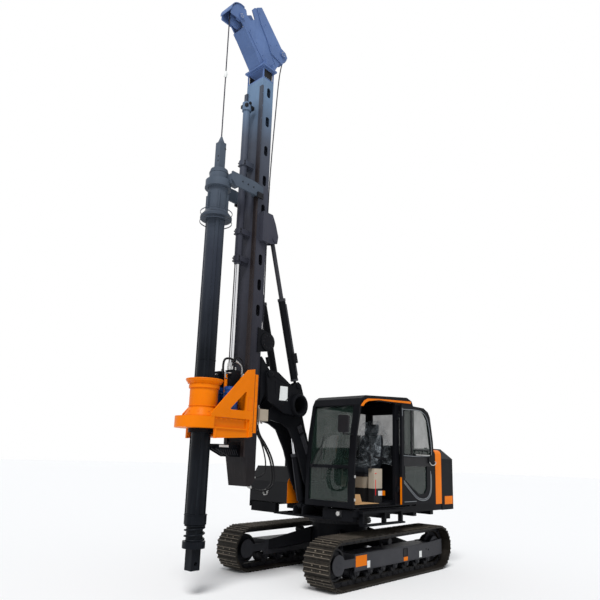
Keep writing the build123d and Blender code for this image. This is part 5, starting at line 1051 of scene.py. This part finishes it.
# Valve block on the mast and the fittings behind the mast
valve_bits = Piece("mast_valve_fittings", "mast", "steel")
for x, y, z, h, r in ((2.3, 0.12, 2.645, 0.055, 0.014), (2.3, 0.12, 2.7, 0.03, 0.02),
        (2.245, 0.08, 2.645, 0.025, 0.012), (2.35, 0.19, 2.645, 0.025, 0.012)):
    valve_bits.bar(x, y, (z, z + h), r, 12)
for x, y in ((2.225, 0.06), (2.25, 0.16), (2.33, 0.22)):
    valve_bits.bar(x, y, (2.425, 2.466), 0.013, 6)
valve_bits.done()
Piece("mast_valve_stem", "mast", "rubber_and_shade").sweep([P(2.3, 0.12, 2.725), P(2.302, 0.12, 2.86),
    P(2.33, 0.105, 3.0), P(2.368, 0.1, 3.12)], 0.01, 10, 6).done()

# Rotary drive: bolts, fittings, pipes, blank label
drive_bolts = Piece("drive_case_bolts", DRIVE, "orange")
KELLY_X, CARRIAGE_FACE = 3.305, 0.35
for c, s in ring_points(12, 0.26):
    drive_bolts.bolt(P(KELLY_X + 0.239 * c, 0.239 * s, 2.9475), (0.64 * c, 0.64 * s, -0.77), 0.013)
for c, s in ring_points(10, 0.64):
    drive_bolts.bolt(P(KELLY_X + 0.2365 * c, 0.2365 * s, 2.527), (c, s, 0.56), 0.011)
for c, s in ring_points(20, 0.1):
    if KELLY_X + 0.3 * c > 3.0:
        drive_bolts.bolt(P(KELLY_X + 0.3 * c, 0.3 * s, 2.452), (0, 0, 1), 0.009)
drive_bolts.side_bolts(CARRIAGE_FACE, [(2.645, 2.29 + 0.06 * i) for i in range(5)], 0.01)
drive_bolts.side_bolts(CARRIAGE_FACE, [(2.76 + 0.095 * i, 2.425) for i in range(7)], 0.008)
drive_bolts.side_bolts(CARRIAGE_FACE, [(2.575, 2.33 + 0.105 * i) for i in range(8)], 0.009)
drive_bolts.done()
Piece("carriage_grooves", DRIVE, "rubber_and_shade").side_boxes((2.608, 2.616), (0.3495, 0.3508), (2.27, 3.14)).done()
weld = Piece("drive_rims", DRIVE, "orange")
weld.lathe([(0.264, 0), (0.276, 0.004), (0.279, 0.012), (0.276, 0.02), (0.264, 0.022)], P(KELLY_X, 0, 2.986),
    segments=64)
weld.lathe([(0.206, 0), (0.215, 0.004), (0.215, 0.014), (0.206, 0.018)], P(KELLY_X, 0, 2.6), segments=64)
weld.done()
outline = Piece("carriage_blank_frame", DRIVE, "red")
for x0, x1, z0, z1 in ((2.64, 2.735, 2.778, 2.781), (2.64, 2.735, 2.584, 2.587), (2.64, 2.643, 2.584, 2.781),
        (2.732, 2.735, 2.584, 2.781)):
    outline.box((x0, x1), (0.3498, 0.3506), (z0, z1))
outline.done()
MOTOR_X, MOTOR_Y = 2.917, 0.15
motor_bits = Piece("motor_rings", DRIVE, "blue")
for side in (1, -1):
    for z, r in ((2.56, 0.1125), (2.7, 0.1125), (2.835, 0.1145)):
        motor_bits.lathe([(r - 0.006, -0.01), (r + 0.002, -0.008), (r + 0.004, 0), (r + 0.002, 0.008),
            (r - 0.006, 0.01)], P(MOTOR_X, side * MOTOR_Y, z), segments=40)
    motor_bits.bolts(P(MOTOR_X, side * MOTOR_Y, 2.93), (0, 0, 1), 0.094, 10, 0.008)
motor_bits.done()
silver = Piece("drive_fittings", DRIVE, "steel")
for y in (0.105, 0.15, 0.195, -0.11, -0.17):
    silver.bar((2.972, 3.0), y, 3.135, 0.014, 6)
    silver.bar((3.0, 3.022), y, 3.135, 0.01, 12)
for x, y in ((2.9, 0.1), (2.85, 0.15), (2.9, -0.1), (2.85, -0.18)):
    silver.bar(x, y, (3.19, 3.222), 0.013, 6)
    silver.bar(x, y, (3.222, 3.246), 0.009, 12)
silver.sweep(at_y(0.12, [(2.972, 3.06), (3.012, 3.062), (3.02, 3.11), (3.018, 3.18)]), 0.009)
silver.sweep([P(2.8, 0.225, 3.02), P(2.77, 0.24, 3.045), P(2.745, 0.24, 3.03), P(2.735, 0.235, 3.01)], 0.01)
silver.box((2.95, 3.072), (0.085, 0.115), (2.82, 2.828))
silver.done(bevel=0.001)
disc = Piece("drive_disc", DRIVE, "orange")
disc.bar((2.7325, 2.762), 0.19, 3.045, 0.055, 32)
disc.bar(2.985, 0.1, (2.828, 3.12), 0.026, 24)
disc.done(bevel=0.003)
Piece("drive_front_pipe", DRIVE, "rubber_and_shade").sweep([P(2.972, 0.06, 3.12), P(3.01, 0.06, 3.15),
    P(3.022, 0.062, 3.27), P(3.0, 0.07, 3.355), P(2.927, 0.085, 3.378), P(2.86, 0.1, 3.364),
    P(2.8, 0.115, 3.338)], 0.017, 14, 6).done()
arch_ends = Piece("drive_pipe_ends", DRIVE, "steel")
arch_ends.sweep([P(2.815, 0.112, 3.345), P(2.76, 0.125, 3.318), P(2.712, 0.138, 3.27), P(2.7, 0.142, 3.2),
    P(2.7, 0.142, 3.098)], 0.015, 12, 6)
arch_ends.rod(P(2.82, 0.11, 3.348), P(2.775, 0.121, 3.327), 0.022, 16)
arch_ends.bar(2.7, 0.142, (3.15, 3.18), 0.022, 6)
arch_ends.rod(P(2.968, 0.06, 3.12), P(2.99, 0.06, 3.132), 0.022, 6)
arch_ends.bar(2.955, 0.1, (3.189, 3.3), 0.013, 12)
arch_ends.bar(2.955, 0.1, (3.215, 3.25), 0.021, 6)
arch_ends.done()

# Kelly: slide shoes, bar marks, ring, and the coiled spring
shoes = Piece("guide_shoes", "kelly_top", "cast")
shoes.side_boxes((2.575, 2.7), (0.2655, 0.296), (6.1, 6.195))
shoes.side_bolts(0.296, [(x, 6.148) for x in (2.6, 2.675)], 0.01)
shoes.side_bolts(0.2655, [(x, 6.25) for x in (2.78, 2.9, 3.02)], 0.011)
shoes.done(bevel=0.004)
guide_rim = Piece("guide_rims", "kelly_top", "kelly")
guide_rim.lathe([(0.203, 0), (0.212, 0.004), (0.212, 0.022), (0.203, 0.026)], P(KELLY_X, 0, 6.078),
    segments=64)
guide_rim.lathe([(0.15, 0), (0.158, 0.003), (0.158, 0.016), (0.15, 0.02)], P(KELLY_X, 0, 6.336), segments=56)
guide_rim.bolts(P(KELLY_X, 0, 6.37), (0, 0, 1), 0.138, 12, 0.008, height=0.0045)
guide_rim.done()
tube_rims = Piece("outer_tube_rims", "kelly_outer", "kelly")
for z, r in ((5.498, 0.25), (5.66, 0.25), (1.08, 0.158), (3.29, 0.14)):
    tube_rims.lathe([(r - 0.002, 0), (r + 0.005, 0.004), (r + 0.005, 0.014), (r - 0.002, 0.018)],
        P(KELLY_X, 0, z), segments=64)
tube_rims.done()
marks = Piece("kelly_bar_marks", "kelly_inner", "rubber_and_shade")
for z in (6.56, 6.64):
    marks.bar((KELLY_X + 0.0595, KELLY_X + 0.0612), 0.025, z, 0.014, 16)
marks.bar(KELLY_X - 0.05, (0.059, 0.0612), 6.8, 0.016, 16)
marks.done()
spring = Piece("kelly_coil_spring", "kelly_inner", "kelly")
spring.lathe([(0.092, 0.0), (0.118, 0.0), (0.118, 0.2245), (0.092, 0.2245)], P(KELLY_X, 0, 0.7362),
    segments=48)
turns = []
for k in range(3 * 24 + 13):
    a = 2 * math.pi * k / 24
    rise = min(1.0, max(0.0, (a - math.pi / 2) / (5 * math.pi)))
    turns.append(P(KELLY_X + 0.136 * math.cos(a), 0.136 * math.sin(a), 0.75 + 0.197 * rise))
spring.follow(turns, [[(0.0132 * c, 0.0132 * s) for c, s in ring_points(14)]])
spring.done(replaces=["kelly_spring"])
# painted shade: a dark square flush with the outer tube stands in for the shade inside its window
window_shade = Piece("tube_foot_window_shade", "kelly_outer", "rubber_and_shade")
WINDOW_TURN = math.radians(19)
window_out = Vector((math.cos(WINDOW_TURN), math.sin(WINDOW_TURN), 0))
window_side = Vector((-window_out.y, window_out.x, 0))
window_shade.solid([P(KELLY_X, 0, z) + window_out * 0.14 + window_side * y
    for y, z in ((-0.026, 1.008), (0.026, 1.008), (0.026, 1.06), (-0.026, 1.06))], window_out * 0.0155)
window_shade.done()

# Floor and light
bpy.context.scene.view_settings.view_transform = "Standard"
floor_mesh = bpy.data.meshes.new("floor")
floor_mesh.from_pydata([(-120, -120, 0), (120, -120, 0), (120, 120, 0), (-120, 120, 0)], [], [(0, 1, 2, 3)])
floor = bpy.data.objects.new("floor", floor_mesh)
bpy.context.scene.collection.objects.link(floor)
floor_material = bpy.data.materials.new("floor")
floor_material.use_nodes = True
tree = floor_material.node_tree
surface = tree.nodes["Principled BSDF"]
surface.inputs["Base Color"].default_value = (0.92, 0.92, 0.92, 1)
surface.inputs["Roughness"].default_value = 0.9
surface.inputs["Specular IOR Level"].default_value = 0.1
floor_mesh.materials.append(floor_material)

world = bpy.data.worlds.new("world")
bpy.context.scene.world = world
world.use_nodes = True
tree = world.node_tree
background = tree.nodes["Background"]
background.inputs["Color"].default_value = (0.93, 0.96, 1.0, 1)
background.inputs["Strength"].default_value = 0.45
backdrop = node(tree, "ShaderNodeBackground", Color=(1, 1, 1, 1), Strength=1.0)
path = node(tree, "ShaderNodeLightPath").outputs
seen = calc("MAXIMUM", calc("MAXIMUM", path["Is Camera Ray"], path["Is Transmission Ray"]),
    path["Is Glossy Ray"])
choose = node(tree, "ShaderNodeMixShader")
for out, into in zip((seen, background.outputs[0], backdrop.outputs[0]), choose.inputs):
    link(out, into)
link(choose.outputs[0], tree.nodes["World Output"].inputs["Surface"])

sun = bpy.data.lights.new("sun", "SUN")
sun.energy = 2.5
sun.angle = math.radians(24)
sun_object = bpy.data.objects.new("sun", sun)
sun_object.rotation_euler = Vector((-0.62, -0.42, -0.95)).to_track_quat("-Z", "Y").to_euler()
bpy.context.scene.collection.objects.link(sun_object)
